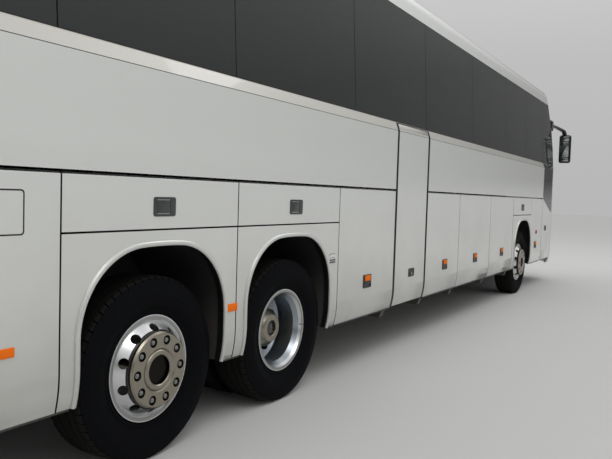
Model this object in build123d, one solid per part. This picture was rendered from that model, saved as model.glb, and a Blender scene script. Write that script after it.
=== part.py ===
"""A three-axle touring coach, 14 m long, built as its real panels, glass, floors, axles, wheels and doors.

All sizes are in millimetres. X points forward, Y to the left and Z up. The origin is on the ground, under
the middle of the whole vehicle with its mirrors. Places along the side are given as distances ahead of the
drive axle.
"""

from build123d import *
import math
import os

# Overall sizes
BODY_LENGTH = 14050
HALF_WIDTH = 1275
ROOF_Z = 3700
MIRROR_REACH = 110  # the mirrors' stand ahead of the front panel
REAR_X = -(BODY_LENGTH + MIRROR_REACH) / 2
FRONT_X = REAR_X + BODY_LENGTH

# Axles and wheels
REAR_OVERHANG = 2710
AXLE_SPREAD = 1350  # tag axle to drive axle
WHEELBASE = 7130  # drive axle to front axle
TAG_X = REAR_X + REAR_OVERHANG
DRIVE_X = TAG_X + AXLE_SPREAD
FRONT_AXLE_X = DRIVE_X + WHEELBASE
TYRE_RADIUS = 517
TYRE_WIDTH = 296
RIM_RADIUS = 298
BEAD_RADIUS = 284
WHEEL_Y = 1083  # centre plane of an outer tyre
TWIN_SPACING = 336
KINGPIN_Y = 930
STEER_LIMIT = 40

# Levels up the side
SKIRT_Z = 450
BUMPER_Z = 350
TUCK_Z = 640  # below this the skirt curves in
ARCH_TOP_Z = 1207
ARCH_SEAM_Z = 1295
WAIST_SEAM_Z = 1587
SHOULDER_Z = 2149
SILL_Z = 2225
CANTRAIL_Z = 3342
WINDSCREEN_Z = (1300, 3262)
DECK_Z = 1500
DECK_THICKNESS = 60
PLATFORM_Z = 960  # the driver's floor
HOLD_FLOOR_Z = 475
REAR_LEVELS = {"bumper": 560, "engine_door": 1640, "window": (2290, 3230)}

# Wall build-up and gaps
WALL = 45
GLASS = 12
GAP = 10  # between two body panels
DOOR_SEAM = {"front": 12, "mid": 44}  # width of the rubber down each edge of a door
EDGE_BEVEL = 12  # along the outer top edge of the panels under the waist seam
LIP_WIDTH, LIP_PROUD = 28, 8  # the lip round a wheel arch
SHEET = 6

# Side stations, ahead of the drive axle
ENGINE_SIDE_SEAM = -2020
AXLE_SEAM = -670
HOLD_START = 695
MID_DOOR = (1825, 2685)
HOLD_END = 6415
FRONT_LID_END = 7650
FRONT_DOOR = (8540, 9390)
DOORWAYS = {"front": FRONT_DOOR, "mid": MID_DOOR}
FLAPS_RIGHT = [(695, 1825), (2685, 3780), (3780, 5140), (5140, 6415)]
FLAPS_LEFT = [(695, 2125), (2125, 3555), (3555, 4985), (4985, 6415)]
PANE_JOINTS = [-3740, -2030, -690, 970, 2630, 4290, 5950, 7250, 8540]
FRONT_DOOR_TOP = 2662


def at(station):
    """X of a place given as a distance ahead of the drive axle."""
    return DRIVE_X + station


REAR_SEAM_X = REAR_X + 240
FRONT_SEAM_X = at(FRONT_DOOR[1])


# Basic shapes
def block(x0, x1, y0, y1, z0, z1):
    """A box between two values of X, of Y and of Z."""
    middle = Pos((x0 + x1) / 2, (y0 + y1) / 2, (z0 + z1) / 2)
    return middle * Box(abs(x1 - x0), abs(y1 - y0), abs(z1 - z0))


def side_block(side, x0, x1, y0, y1, z0, z1):
    """A box on one side, 1 for left and -1 for right, with y0 and y1 measured out from the middle."""
    return block(x0, x1, side * y0, side * y1, z0, z1)


def along_x(face, x0, x1):
    """A face drawn in Y and Z, carried from x0 to x1."""
    return extrude(Plane.YZ.offset(x0) * face, amount=x1 - x0)


def along_y(face, y0, y1):
    """A face drawn in X and Z, carried from y0 to y1."""
    low, high = sorted((y0, y1))
    return extrude(Plane.XZ.offset(-high) * face, amount=high - low)


def rounded_slab(u0, u1, v0, v1, radius):
    """A rectangle with rounded corners, for use with along_x and along_y."""
    return Pos((u0 + u1) / 2, (v0 + v1) / 2) * RectangleRounded(u1 - u0, v1 - v0, radius)


def joined(parts):
    """Several touching shapes made into one solid."""
    parts = list(parts)
    whole = parts[0]
    for piece in parts[1:]:
        whole = whole + piece
    return whole


def rod(start, end, radius):
    """A round bar between two points."""
    start, end = Vector(start), Vector(end)
    return Plane(origin=start, z_dir=end - start) * Cylinder(
        radius, (end - start).length, align=(Align.CENTER, Align.CENTER, Align.MIN)
    )


# The body's outer form, drawn in smaller and so that walls and glass are layers of it
# Columns: level Z, X of the nose on the centre line, X of the tail on the centre line
LEVELS = [
    (BUMPER_Z, FRONT_X - 30, REAR_X + 50),
    (900, FRONT_X, REAR_X),
    (2150, FRONT_X - 35, REAR_X + 50),
    (2550, FRONT_X - 120, REAR_X + 75),
    (2850, FRONT_X - 255, REAR_X + 94),
    (3100, FRONT_X - 420, REAR_X + 110),
    (ROOF_Z + 20, FRONT_X - 860, REAR_X + 180),
]
FRONT_BOW = 200
REAR_BOW = 70
FRONT_CORNER = 560
REAR_CORNER = 190
LOFT_EXTRA = 2  # the plan is this much wider than the section, which sets the true sides
UNDER_Z = 150  # how low the inner forms reach, so that the shell is open below


def plan_face(z, nose_x, tail_x, inset):
    """One level of the body: straight sides, a bowed nose and tail, and rounded corners."""
    half = HALF_WIDTH + LOFT_EXTRA - inset
    nose, tail = nose_x - inset, tail_x + inset
    outline = [
        Line((tail + REAR_BOW, -half), (nose - FRONT_BOW, -half)),
        ThreePointArc((nose - FRONT_BOW, -half), (nose, 0), (nose - FRONT_BOW, half)),
        Line((nose - FRONT_BOW, half), (tail + REAR_BOW, half)),
        ThreePointArc((tail + REAR_BOW, half), (tail, 0), (tail + REAR_BOW, -half)),
    ]
    face = make_face(outline)
    face = fillet(face.vertices().sort_by(Axis.X)[-2:], FRONT_CORNER - inset)
    face = fillet(face.vertices().sort_by(Axis.X)[:2], REAR_CORNER - inset)
    return Pos(0, 0, z) * face


def section_face(inset, bottom):
    """The cross-section: tucked-in skirt, upright side, shoulder, leaning glass and a domed roof."""
    side, roof = HALF_WIDTH - inset, ROOF_Z - inset
    right = [
        Line((0, bottom), (side - 60, bottom)),
        Line((side - 60, bottom), (side - 60, BUMPER_Z)) if bottom < BUMPER_Z else None,
        TangentArc((side, TUCK_Z), (side - 60, BUMPER_Z), tangent=(0, -1)),
        Line((side, TUCK_Z), (side, SHOULDER_Z)),
        Line((side, SHOULDER_Z), (side - 25, SILL_Z)),
        Line((side - 25, SILL_Z), (side - 90, CANTRAIL_Z)),
        Line((side - 90, CANTRAIL_Z), (side - 128, roof - 100)),
    ]
    right = [edge for edge in right if edge]
    crown = ThreePointArc((side - 128, roof - 100), (0, roof), (128 - side, roof - 100))
    left = [mirror(edge, Plane.YZ) for edge in right]
    face = make_face([*right, crown, *left])
    return fillet(face.vertices().sort_by(Axis.Y)[-2:], 210 - inset)


def profile_face(inset, bottom):
    """The side view, which rounds the roof down to the windscreen and the tail."""
    roof = ROOF_Z - inset
    dome_start, dome_end = (FRONT_X - 1283 - inset, roof), (FRONT_X - 466 - inset, 3080)
    chin = (FRONT_X + 100, 1300)
    outline = [
        Line((REAR_X - 400, bottom), (FRONT_X + 100, bottom)),
        Line((FRONT_X + 100, bottom), chin),
        Line(chin, dome_end),
        TangentArc(dome_start, dome_end, tangent=(1, 0)),
        Line(dome_start, (REAR_X + 170 + inset, roof)),
        Line((REAR_X + 170 + inset, roof), (REAR_X - 400, 1000)),
        Line((REAR_X - 400, 1000), (REAR_X - 400, bottom)),
    ]
    face = make_face(outline)
    tail = face.vertices().sort_by_distance(Vector(REAR_X + 170 + inset, roof))[0]
    return fillet(tail, 260 - inset)


def hull(inset):
    """The body's whole form, drawn in by inset. Inner forms reach lower than the outer one."""
    bottom = BUMPER_Z if inset == 0 else UNDER_Z
    levels = [plan_face(z, nose, tail, inset) for z, nose, tail in LEVELS]
    if inset:
        levels.insert(0, plan_face(UNDER_Z, LEVELS[0][1], LEVELS[0][2], inset))
    plan = loft(levels, ruled=True)
    section = along_x(section_face(inset, bottom), REAR_X - 500, FRONT_X + 500)
    profile = along_y(profile_face(inset, bottom), -HALF_WIDTH - 100, HALF_WIDTH + 100)
    return plan & section & profile


OUTER = hull(0)
GLASS_BACK = hull(GLASS)
LINING = hull(WALL)
PROUD = hull(-LIP_PROUD)
FULL_Y = HALF_WIDTH + 50


def skin(region):
    """The whole wall thickness inside a region."""
    return (OUTER & region) - LINING


def glass_skin(region):
    """The outer glass layer inside a region."""
    return (OUTER & region) - GLASS_BACK


def frame_skin(region):
    """The wall behind the glass layer inside a region."""
    return (GLASS_BACK & region) - LINING


# Wheel arches
def arch_face(x, grow, bottom=UNDER_Z):
    """A wheel arch opening: upright sides, full shoulders and a nearly flat top."""
    half, top = 556 + grow, ARCH_TOP_Z + grow
    outline = [
        Line((x - half, bottom), (x - half, top - 57)),
        ThreePointArc((x - half, top - 57), (x, top), (x + half, top - 57)),
        Line((x + half, top - 57), (x + half, bottom)),
        Line((x + half, bottom), (x - half, bottom)),
    ]
    face = make_face(outline)
    return fillet(face.vertices().sort_by(Axis.Y)[-2:], 430 + grow)


# Columns: axle X, growth of the liner past the opening, inner Y of the liner, then half width and top of
# the slot that the axle passes through
ARCHES = [
    (TAG_X, 14, 560, 90, 610),
    (DRIVE_X, 14, 545, 105, 640),
    (FRONT_AXLE_X, 76, 470, 80, 600),
]
LINER_OUT_Y = HALF_WIDTH - WALL - 2


def wheel_boxes():
    """A sheet tunnel over each wheel, closed on its inner side but for the axle's slot."""
    boxes = []
    within = hull(WALL + 2)
    for side in (1, -1):
        for x, grow, inner_y, slot_half, slot_top in ARCHES:
            outside, deep = arch_face(x, grow + SHEET, SKIRT_Z), inner_y + SHEET
            tunnel = along_y(outside, side * deep, side * LINER_OUT_Y)
            tunnel = tunnel - along_y(arch_face(x, grow), side * inner_y, side * (LINER_OUT_Y + 1))
            back = along_y(outside, side * inner_y, side * deep)
            slot = side_block(side, x - slot_half, x + slot_half, inner_y - 1, deep + 1, 0, slot_top)
            boxes.append((tunnel + (back - slot)) & within)
    return boxes


# Fixed lower panels. Columns: start, end, low Z, high Z, axle whose arch cuts it
FIXED_PANELS = [
    (REAR_SEAM_X - DRIVE_X, ENGINE_SIDE_SEAM, SKIRT_Z, WAIST_SEAM_Z, None),
    (ENGINE_SIDE_SEAM, AXLE_SEAM, SKIRT_Z, ARCH_SEAM_Z, TAG_X),
    (ENGINE_SIDE_SEAM, AXLE_SEAM, ARCH_SEAM_Z, WAIST_SEAM_Z, None),
    (AXLE_SEAM, HOLD_START, SKIRT_Z, ARCH_SEAM_Z, DRIVE_X),
    (AXLE_SEAM, HOLD_START, ARCH_SEAM_Z, WAIST_SEAM_Z, None),
    (HOLD_END, FRONT_LID_END, ARCH_SEAM_Z, WAIST_SEAM_Z, None),
]


def arched(piece, side, axle_x):
    """A panel with a wheel arch cut out and a proud lip round it, which follows the skirt's curve."""
    arch = along_y(arch_face(axle_x, 0), side * 900, side * (FULL_Y + 1))
    band = along_y(arch_face(axle_x, LIP_WIDTH, SKIRT_Z), side * 1000, side * FULL_Y)
    return (piece + ((PROUD & band) - LINING)) - arch


def top_wedge(side):
    """What bevels the outer top edge of the panels under the waist seam."""
    top, edge = WAIST_SEAM_Z - GAP / 2 + 1, HALF_WIDTH + 1
    leg = EDGE_BEVEL + 2
    outline = Polyline((side * (edge - leg), top), (side * edge, top), (side * edge, top - leg), close=True)
    return along_x(make_face(outline), REAR_X, FRONT_X)


def panel(side, start, end, low, high, axle_x=None):
    """One body panel between two stations and two levels, half a gap short at each edge but the skirt's."""
    foot = low if low == SKIRT_Z else low + GAP / 2
    x0, x1 = at(start) + GAP / 2, at(end) - GAP / 2
    piece = skin(side_block(side, x0, x1, 1000, FULL_Y, foot, high - GAP / 2))
    if high == WAIST_SEAM_Z:
        piece = piece - top_wedge(side)
    return piece if axle_x is None else arched(piece, side, axle_x)


def front_arch_panel(side, end):
    """The panel round the front wheel, which runs up beside the lid over the arch."""
    top = WAIST_SEAM_Z - GAP / 2
    whole = side_block(side, at(HOLD_END) + GAP / 2, at(end) - GAP / 2, 1000, FULL_Y, SKIRT_Z, top)
    lid_end = at(FRONT_LID_END) + GAP / 2
    lid = side_block(side, at(HOLD_END), lid_end, 1000, FULL_Y, ARCH_SEAM_Z - GAP / 2, WAIST_SEAM_Z)
    return arched(skin(whole - lid) - top_wedge(side), side, FRONT_AXLE_X)


def skirt_panels(side):
    """All fixed panels below the waist seam on one side."""
    panels = [panel(side, *row) for row in FIXED_PANELS]
    end = FRONT_DOOR[0] if side < 0 else FRONT_DOOR[1]
    panels.append(front_arch_panel(side, end))
    return panels


# Upper side walls and their glass
PILLAR = 90
BAND_LOW, BAND_HIGH = SILL_Z + 8, CANTRAIL_Z - 4
DRIVER_SILL_Z = 1900


def pane_regions(side):
    """Each pane's X range and Z range on one side, from the back, gaps left out."""
    panes = [(at(a) + 4, at(b) - 4, BAND_LOW, BAND_HIGH) for a, b in zip(PANE_JOINTS, PANE_JOINTS[1:])]
    last_low = FRONT_DOOR_TOP + GAP if side < 0 else DRIVER_SILL_Z
    panes.append((at(FRONT_DOOR[0]) + 4, FRONT_SEAM_X - 4, last_low, BAND_HIGH))
    return panes


def side_glass():
    """The bonded panes of both sides."""
    return [
        glass_skin(side_block(side, x0, x1, 900, FULL_Y, z0, z1))
        for side in (1, -1)
        for x0, x1, z0, z1 in pane_regions(side)
    ]


def wall_regions(side):
    """The parts of one side, as ranges of X and Z: waist panels, window band and what is ahead of them."""
    low, rear = WAIST_SEAM_Z + GAP / 2, REAR_SEAM_X + GAP / 2
    bay, front = at(FRONT_DOOR[0]) - GAP / 2, FRONT_SEAM_X - GAP / 2
    band = (rear, bay, SILL_Z, CANTRAIL_Z)
    if side > 0:
        return [(rear, bay, low, SILL_Z), band, (bay, front, low, CANTRAIL_Z)]
    header = (bay, front, FRONT_DOOR_TOP + GAP, CANTRAIL_Z)
    behind_door = (rear, at(MID_DOOR[0]) - GAP / 2, low, SILL_Z)
    ahead_of_door = (at(MID_DOOR[1]) + GAP / 2, bay, low, SILL_Z)
    return [behind_door, ahead_of_door, band, header]


def side_wall(side):
    """One side above the waist seam: smooth waist panels and a pillared frame behind the glass."""
    parts = []
    for start, end, low, high in wall_regions(side):
        wall = skin(side_block(side, start, end, 900, FULL_Y, low, high))
        for x0, x1, z0, z1 in pane_regions(side):
            if x0 < end and x1 > start and z0 < high:
                seat = side_block(side, x0 - 4.5, x1 + 4.5, 900, FULL_Y, z0 - 3, z1 + 3)
                opening = rounded_slab(x0 + PILLAR / 2, x1 - PILLAR / 2, z0 + 50, z1 - 60, 60)
                wall = wall - glass_skin(seat) - along_y(opening, side * 900, side * FULL_Y)
        parts.append(wall)
    return parts


# Roof
DOME_X = FRONT_X - 1283  # where the roof starts to round down to the windscreen
TAIL_CAP_X = REAR_X + 480
COVE_Y = 900  # the middle sheet's edge
HATCH = {"stations": (-1700, 6200), "length": 700, "width": 640, "height": 22, "corner": 60}


def roof_hatch(station):
    """One escape hatch, a raised lid with bevelled edges."""
    rooted = 30  # how deep the lid is let into the roof
    outline = RectangleRounded(HATCH["length"], HATCH["width"], HATCH["corner"])
    lid = extrude(outline, amount=HATCH["height"] + rooted)
    lid = chamfer(lid.faces().sort_by(Axis.Z)[-1].edges(), HATCH["height"] / 2)
    return Pos(at(station), 0, ROOF_Z - rooted) * lid


def roof():
    """The domed roof: front dome, tail cap, and a middle sheet with its hatches between two side coves."""
    top = ROOF_Z + 10
    dome = skin(block(DOME_X, FRONT_X, -FULL_Y, FULL_Y, CANTRAIL_Z, top))
    dome = dome - block(FRONT_SEAM_X, FRONT_X, -FULL_Y, FULL_Y, CANTRAIL_Z - 10, CANTRAIL_Z + 10)
    cap = skin(block(REAR_X, TAIL_CAP_X, -FULL_Y, FULL_Y, CANTRAIL_Z, top))
    middle = skin(block(TAIL_CAP_X, DOME_X, -COVE_Y, COVE_Y, CANTRAIL_Z, top))
    middle = joined([middle, *[roof_hatch(station) for station in HATCH["stations"]]])
    coves = [
        skin(side_block(side, TAIL_CAP_X, DOME_X, COVE_Y, FULL_Y, CANTRAIL_Z, top))
        for side in (1, -1)
    ]
    return [dome, cap, middle, *coves]


# Roof air conditioner
POD_STATIONS = (1100, 4300)
POD_HALF = 900
POD_TOP = 3840
FANS = {"stations": (1750, 2700, 3650), "radius": 295, "depth": 14}


def roof_pod():
    """The flat air-conditioning unit on the roof: sloping sides and ends, three shallow fan openings on top."""
    section = make_face(
        Polyline(
            (-POD_HALF, 3600), (POD_HALF, 3600), (POD_HALF, 3720), (POD_HALF - 140, POD_TOP),
            (140 - POD_HALF, POD_TOP), (-POD_HALF, 3720), close=True,
        )
    )
    section = fillet(section.vertices().sort_by(Axis.Y)[-4:], 60)
    rear, front = at(POD_STATIONS[0]), at(POD_STATIONS[1])
    ridge = POD_TOP + 5
    profile = make_face(
        Polyline(
            (rear, 3560), (front, 3560), (front, 3700), (front - 240, ridge), (rear + 240, ridge),
            (rear, 3700), close=True,
        )
    )
    pod = (along_x(section, rear, front) & along_y(profile, -POD_HALF, POD_HALF)) - OUTER
    for station in FANS["stations"]:
        pod = pod - Pos(at(station), 0, POD_TOP) * Cylinder(FANS["radius"], 2 * FANS["depth"])
    return pod


# Front
LAMP_FRONT = {"y": (760, 1240), "z": (720, 1010)}
LAMP_BACK_X = FRONT_X - 470


def front_lamp_face(side, grow):
    """Outline of one headlamp, seen from ahead."""
    y0, y1 = LAMP_FRONT["y"]
    z0, z1 = LAMP_FRONT["z"]
    face = rounded_slab(y0 - grow, y1 + grow, z0 - grow, z1 + grow, 60 + grow)
    return mirror(face, Plane.YZ) if side < 0 else face


# Columns: half width, low Z, high Z, number of blades across it
AIR_INTAKES = [(560, 585, 705, 2), (620, 410, 510, 1)]
BLADE = 12


def front_panel():
    """The nose below the windscreen, with the lamps let in and two bladed air intakes."""
    top = WINDSCREEN_Z[0] - GAP / 2
    nose = skin(block(FRONT_SEAM_X + GAP / 2, FRONT_X + 50, -FULL_Y, FULL_Y, BUMPER_Z, top))
    for side in (1, -1):
        nose = nose - along_x(front_lamp_face(side, 3), LAMP_BACK_X - 3, FRONT_X + 50)
    for half, low, high, blades in AIR_INTAKES:
        nose = nose - along_x(rounded_slab(-half, half, low, high, 30), FRONT_X - 300, FRONT_X + 50)
        pitch = (high - low) / (blades + 1)
        for i in range(blades):
            z = low + (i + 1) * pitch
            blade = block(FRONT_X - 300, FRONT_X + 50, -half - 5, half + 5, z - BLADE / 2, z + BLADE / 2)
            nose = nose + skin(blade)
    return nose


def headlamps():
    """The two headlamp units, flush with the nose."""
    return [
        (OUTER & along_x(front_lamp_face(side, 0), LAMP_BACK_X, FRONT_X + 50)) - hull(70)
        for side in (1, -1)
    ]


def windscreen():
    """The one-piece wrapped windscreen."""
    low, high = WINDSCREEN_Z
    return glass_skin(block(FRONT_SEAM_X + GAP / 2, FRONT_X + 50, -FULL_Y, FULL_Y, low + GAP / 2, high))


def windscreen_frame():
    """Corner pillars, sill and header that the windscreen is bonded to."""
    low, high = WINDSCREEN_Z
    region = block(FRONT_SEAM_X + GAP / 2, FRONT_X + 50, -FULL_Y, FULL_Y, low - GAP / 2, CANTRAIL_Z - 10)
    frame = frame_skin(region)
    head = skin(block(FRONT_SEAM_X + GAP / 2, FRONT_X + 50, -FULL_Y, FULL_Y, high + 4, CANTRAIL_Z - 10))
    view = along_x(rounded_slab(-1090, 1090, low + 70, high - 70, 90), FRONT_X - 1200, FRONT_X + 50)
    return frame - view + head


# Rear
TAIL_LAMP = {"y": (1010, 1235), "z": (820, 1380)}
ENGINE_DOOR_HALF = 930


def rear_lamp_face(side, grow):
    """Outline of one tail lamp cluster, seen from behind."""
    y0, y1 = TAIL_LAMP["y"]
    z0, z1 = TAIL_LAMP["z"]
    face = rounded_slab(y0 - grow, y1 + grow, z0 - grow, z1 + grow, 40 + grow)
    return mirror(face, Plane.YZ) if side < 0 else face


def rear_window_face(grow):
    """Outline of the rear window."""
    low, high = REAR_LEVELS["window"]
    return rounded_slab(-1020 - grow, 1020 + grow, low - grow, high + grow, 90 + grow)


def rear_panel():
    """The tail wall, open where the engine door, window and lamps sit."""
    tail = skin(block(REAR_X - 50, REAR_SEAM_X - GAP / 2, -FULL_Y, FULL_Y, BUMPER_Z, CANTRAIL_Z))
    glazed = along_x(rear_window_face(5), REAR_X - 50, REAR_X + 500)
    tail = tail - glass_skin(glazed) - along_x(rear_window_face(-60), REAR_X - 50, REAR_X + 500)
    low, high = REAR_LEVELS["bumper"], REAR_LEVELS["engine_door"]
    half = ENGINE_DOOR_HALF + GAP
    tail = tail - block(REAR_X - 50, REAR_X + 400, -half, half, low - GAP, high + GAP)
    for side in (1, -1):
        tail = tail - along_x(rear_lamp_face(side, 3), REAR_X - 50, REAR_X + 400)
    return tail


def rear_glass():
    """The rear window pane."""
    return glass_skin(along_x(rear_window_face(0), REAR_X - 50, REAR_X + 500))


def tail_lamps():
    """The two tail lamp clusters."""
    return [
        (OUTER & along_x(rear_lamp_face(side, 0), REAR_X - 50, REAR_SEAM_X - 20)) - hull(60)
        for side in (1, -1)
    ]


def engine_door():
    """The top-hinged engine lid with a bank of air slots."""
    low, high = REAR_LEVELS["bumper"], REAR_LEVELS["engine_door"]
    door = skin(block(REAR_X - 50, REAR_X + 400, -ENGINE_DOOR_HALF, ENGINE_DOOR_HALF, low, high))
    for row in range(8):
        slot = rounded_slab(-700, 700, 1000 + row * 55, 1028 + row * 55, 10)
        door = door - along_x(slot, REAR_X - 50, REAR_X + 400)
    return door


# Doors
def leaf(kind, low, high):
    """A door's skin between its two rubber edges."""
    (start, end), seam = DOORWAYS[kind], DOOR_SEAM[kind]
    return skin(side_block(-1, at(start) + seam, at(end) - seam, 900, FULL_Y, low, high))


POST_IN = 62  # the turning post stands this far inside the doorway's front edge
LINK_Y = HALF_WIDTH - WALL - 80  # the post and the pins on the door stand in this plane
ELBOW = (-148, 137)  # the swan neck's bend, seen from the post: back and inboard
ARM_LEVELS = {"front": (700, 1250), "mid": (750, 1900)}
ARM_HALF = 14
POST_RADIUS = 21
PIN_RADIUS = 12
STEP_Z = SKIRT_Z + 40  # the lowest tread


def door_hinges(span):
    """X of the turning post and X of the pin on the door, for a door over this span."""
    return at(span[1]) - POST_IN, at((span[0] + span[1]) / 2)


def door_brackets(span, levels):
    """Pairs of lugs on the inside of a door, each with a pin that an arm's eye turns on."""
    pin_x = door_hinges(span)[1]
    lugs = []
    for z in levels:
        for low in (z - 40, z + 24):
            lug = side_block(-1, pin_x - 30, pin_x + 30, LINK_Y - 30, HALF_WIDTH - WALL + 1, low, low + 16)
            lugs.append(lug)
        lugs.append(Pos(pin_x, -LINK_Y, z) * Cylinder(PIN_RADIUS - 0.05, 64))
    return lugs


def door_arms(span, levels):
    """The post and its two swan-necked arms, made as one turning piece."""
    post_x, pin_x = door_hinges(span)
    foot, head = STEP_Z + 0.3, levels[-1] + 120
    pieces = [Pos(post_x, -LINK_Y, (foot + head) / 2) * Cylinder(POST_RADIUS, head - foot)]
    corners = [
        (post_x, -LINK_Y),
        (post_x + ELBOW[0], -LINK_Y + ELBOW[1]),
        (pin_x, -LINK_Y),
    ]
    neck = trace(FilletPolyline(*corners, radius=80), 2 * ARM_HALF)
    for z in levels:
        arm = extrude(Pos(0, 0, z - 20) * neck, amount=40)
        pieces.append(arm + Pos(pin_x, -LINK_Y, z) * Cylinder(24, 40))
    arms = joined(pieces)
    for z in levels:
        arms = arms - Pos(pin_x, -LINK_Y, z) * Cylinder(PIN_RADIUS, 60)
    return arms


def mid_door():
    """The middle entrance door, plain from skirt to sill."""
    door = leaf("mid", SKIRT_Z + 6, SILL_Z - 8)
    return joined([door, *door_brackets(MID_DOOR, ARM_LEVELS["mid"])])


def front_door_glass_face(grow):
    """Outline of the front door's pane, whose lower edge drops towards the nose."""
    x0 = at(FRONT_DOOR[0])
    points = [
        (x0 + 34 - grow, 1590 - grow),
        (x0 + 816 + grow, 1310 - grow),
        (x0 + 816 + grow, 2622 + grow),
        (x0 + 34 - grow, 2622 + grow),
    ]
    face = make_face(Polyline(*points, close=True))
    return fillet(face.vertices(), max(50 + grow, 30))


def front_door():
    """The front entrance door round its tall pane."""
    door = leaf("front", SKIRT_Z + 6, FRONT_DOOR_TOP)
    door = door - glass_skin(along_y(front_door_glass_face(4), -900, -FULL_Y))
    door = door - along_y(front_door_glass_face(-50), -900, -FULL_Y)
    return joined([door, *door_brackets(FRONT_DOOR, ARM_LEVELS["front"])])


def front_door_glass():
    """The front door's pane."""
    return glass_skin(along_y(front_door_glass_face(0), -900, -FULL_Y))


def flap(side, start, end):
    """One luggage flap, hinged along its top edge."""
    return panel(side, start, end, SKIRT_Z, WAIST_SEAM_Z)


# Floors
STAIR_DEPTH = 890
FRONT_STAIR_Y = -480  # inner edge of the front steps
PLATFORM_START = 7800


def inside(shape, inset=WALL):
    """The part of a shape that lies within the body's lining."""
    return shape & (LINING if inset == WALL else hull(inset))


STEP_RISES = {"front": 3, "mid": 5}
# Inner edge and top of each flight
WELLS = {"front": (FRONT_STAIR_Y, PLATFORM_Z), "mid": (STAIR_DEPTH - HALF_WIDTH, DECK_Z)}


def stairs(kind):
    """A closed flight that climbs inboard from a doorway on the right side."""
    (start, end), (inner_y, top), rises = DOORWAYS[kind], WELLS[kind], STEP_RISES[kind]
    outer_y = 50 - HALF_WIDTH
    run, rise = (inner_y - outer_y) / rises, (top - STEP_Z) / rises
    treads = []
    for i in range(rises):
        z = STEP_Z + i * rise
        foot = z - (40 if i == 0 else rise)
        treads.append(block(at(start) + 20, at(end) - 20, outer_y + i * run, inner_y, foot, z))
    return joined(treads)


def stair_wells():
    """The spaces that both flights of steps fill."""
    wells = []
    for kind, (start, end) in DOORWAYS.items():
        inner_y, top = WELLS[kind]
        wells.append(block(at(start) + 20, at(end) - 20, -HALF_WIDTH, inner_y, SKIRT_Z, top))
    return wells


def cabin_floor():
    """Passenger deck and its bulkhead, the driver's platform, inner steps and both doors' flights."""
    inner = WELLS["mid"][0]
    deck_low, platform_low = DECK_Z - DECK_THICKNESS, PLATFORM_Z - DECK_THICKNESS
    start, door_start = at(PLATFORM_START), at(FRONT_DOOR[0])
    deck = joined(
        [
            block(REAR_X + 150, at(MID_DOOR[0]), -FULL_Y, FULL_Y, deck_low, DECK_Z),
            block(at(MID_DOOR[0]) - 1, at(MID_DOOR[1]) + 1, inner, FULL_Y, deck_low, DECK_Z),
            block(at(MID_DOOR[1]), start + DECK_THICKNESS, -FULL_Y, FULL_Y, deck_low, DECK_Z),
        ]
    )
    bulkhead = block(start, start + DECK_THICKNESS, -FULL_Y, FULL_Y, PLATFORM_Z, deck_low)
    platform = block(start, door_start, -FULL_Y, FULL_Y, platform_low, PLATFORM_Z) + block(
        door_start - 1, at(FRONT_DOOR[1]) + 110, FRONT_STAIR_Y, FULL_Y, platform_low, PLATFORM_Z
    )
    step_x = start + DECK_THICKNESS
    inner_steps = block(step_x, start + 540, FRONT_STAIR_Y, 260, PLATFORM_Z, 1140) + block(
        step_x, start + 300, FRONT_STAIR_Y, 260, 1139, 1320
    )
    within = hull(WALL + 8)
    flights = [stairs(kind) for kind in DOORWAYS]
    return [piece & within for piece in (deck, bulkhead, platform, inner_steps, *flights)]


# Underframe
RAIL_Y, RAIL_HALF = 430, 40
# Columns: start, end, low Z, high Z
RAIL_RUNS = [
    (REAR_X - DRIVE_X + 160, 775, 900, 1020),
    (695, 775, 350, 1020),
    (695, 6485, 350, 450),
    (6405, 6485, 350, 900),
    (6405, 7870, 820, 900),
    (7790, 7870, 480, 900),
    (7790, 9300, 480, 580),
]
CROSS_STATIONS = [
    # Columns: station, low Z, high Z, half width
    (-3900, 900, 1020, 1100),
    (-675, 900, 1020, 500),
    (695, 900, 1020, 1225),
    (1780, 350, 450, 1200),
    (2760, 350, 450, 1200),
    (3780, 350, 450, 1200),
    (5140, 350, 450, 1200),
    (6405, 350, 450, 1200),
    (7790, 480, 580, 1150),
    (9220, 480, 580, 470),
]


def underframe():
    """Rails, cross members, the luggage hold's floor and its bulkheads and posts."""
    pieces = []
    inner, outer = RAIL_Y - RAIL_HALF, RAIL_Y + RAIL_HALF
    for start, end, low, high in RAIL_RUNS:
        for side in (1, -1):
            pieces.append(side_block(side, at(start), at(end), inner, outer, low, high))
    for station, low, high, half in CROSS_STATIONS:
        pieces.append(block(at(station), at(station) + 80, -half, half, low, high))
    pieces.append(block(at(HOLD_START), at(HOLD_END + 70), -1225, 1225, 445, HOLD_FLOOR_Z))
    under_deck = DECK_Z - DECK_THICKNESS
    for station in (HOLD_START + 40, HOLD_END + 20):
        pieces.append(block(at(station), at(station) + 20, -1225, 1225, 445, under_deck))
    posts = [(-1, s) for s in (MID_DOOR[0], MID_DOOR[1], 3780, 5140)] + [(1, b) for _, b in FLAPS_LEFT[:-1]]
    for side, station in posts:
        pieces.append(side_block(side, at(station) - 20, at(station) + 20, 1165, 1222, 445, under_deck))
    frame = joined(pieces) & hull(WALL + 8)
    for well in stair_wells():
        frame = frame - well
    return frame


# Engine and axles
def engine():
    """The engine and gearbox as plain blocks between the rails, with the shaft to the drive axle."""
    inner = RAIL_Y - RAIL_HALF
    block_in = block(REAR_X + 330, REAR_X + 1650, -inner, inner, 560, 1200)
    gearbox = block(REAR_X + 1640, REAR_X + 2350, -260, 260, 640, 1080)
    shaft = rod((REAR_X + 2340, 0, 800), (DRIVE_X - 240, 0, 560), 50)
    return joined([block_in, gearbox, shaft])


def air_spring(x, y, low, high):
    """A rolled rubber bellows between an axle and a rail bracket."""
    return Pos(x, y, (low + high) / 2) * Cylinder(105, high - low)


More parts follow.
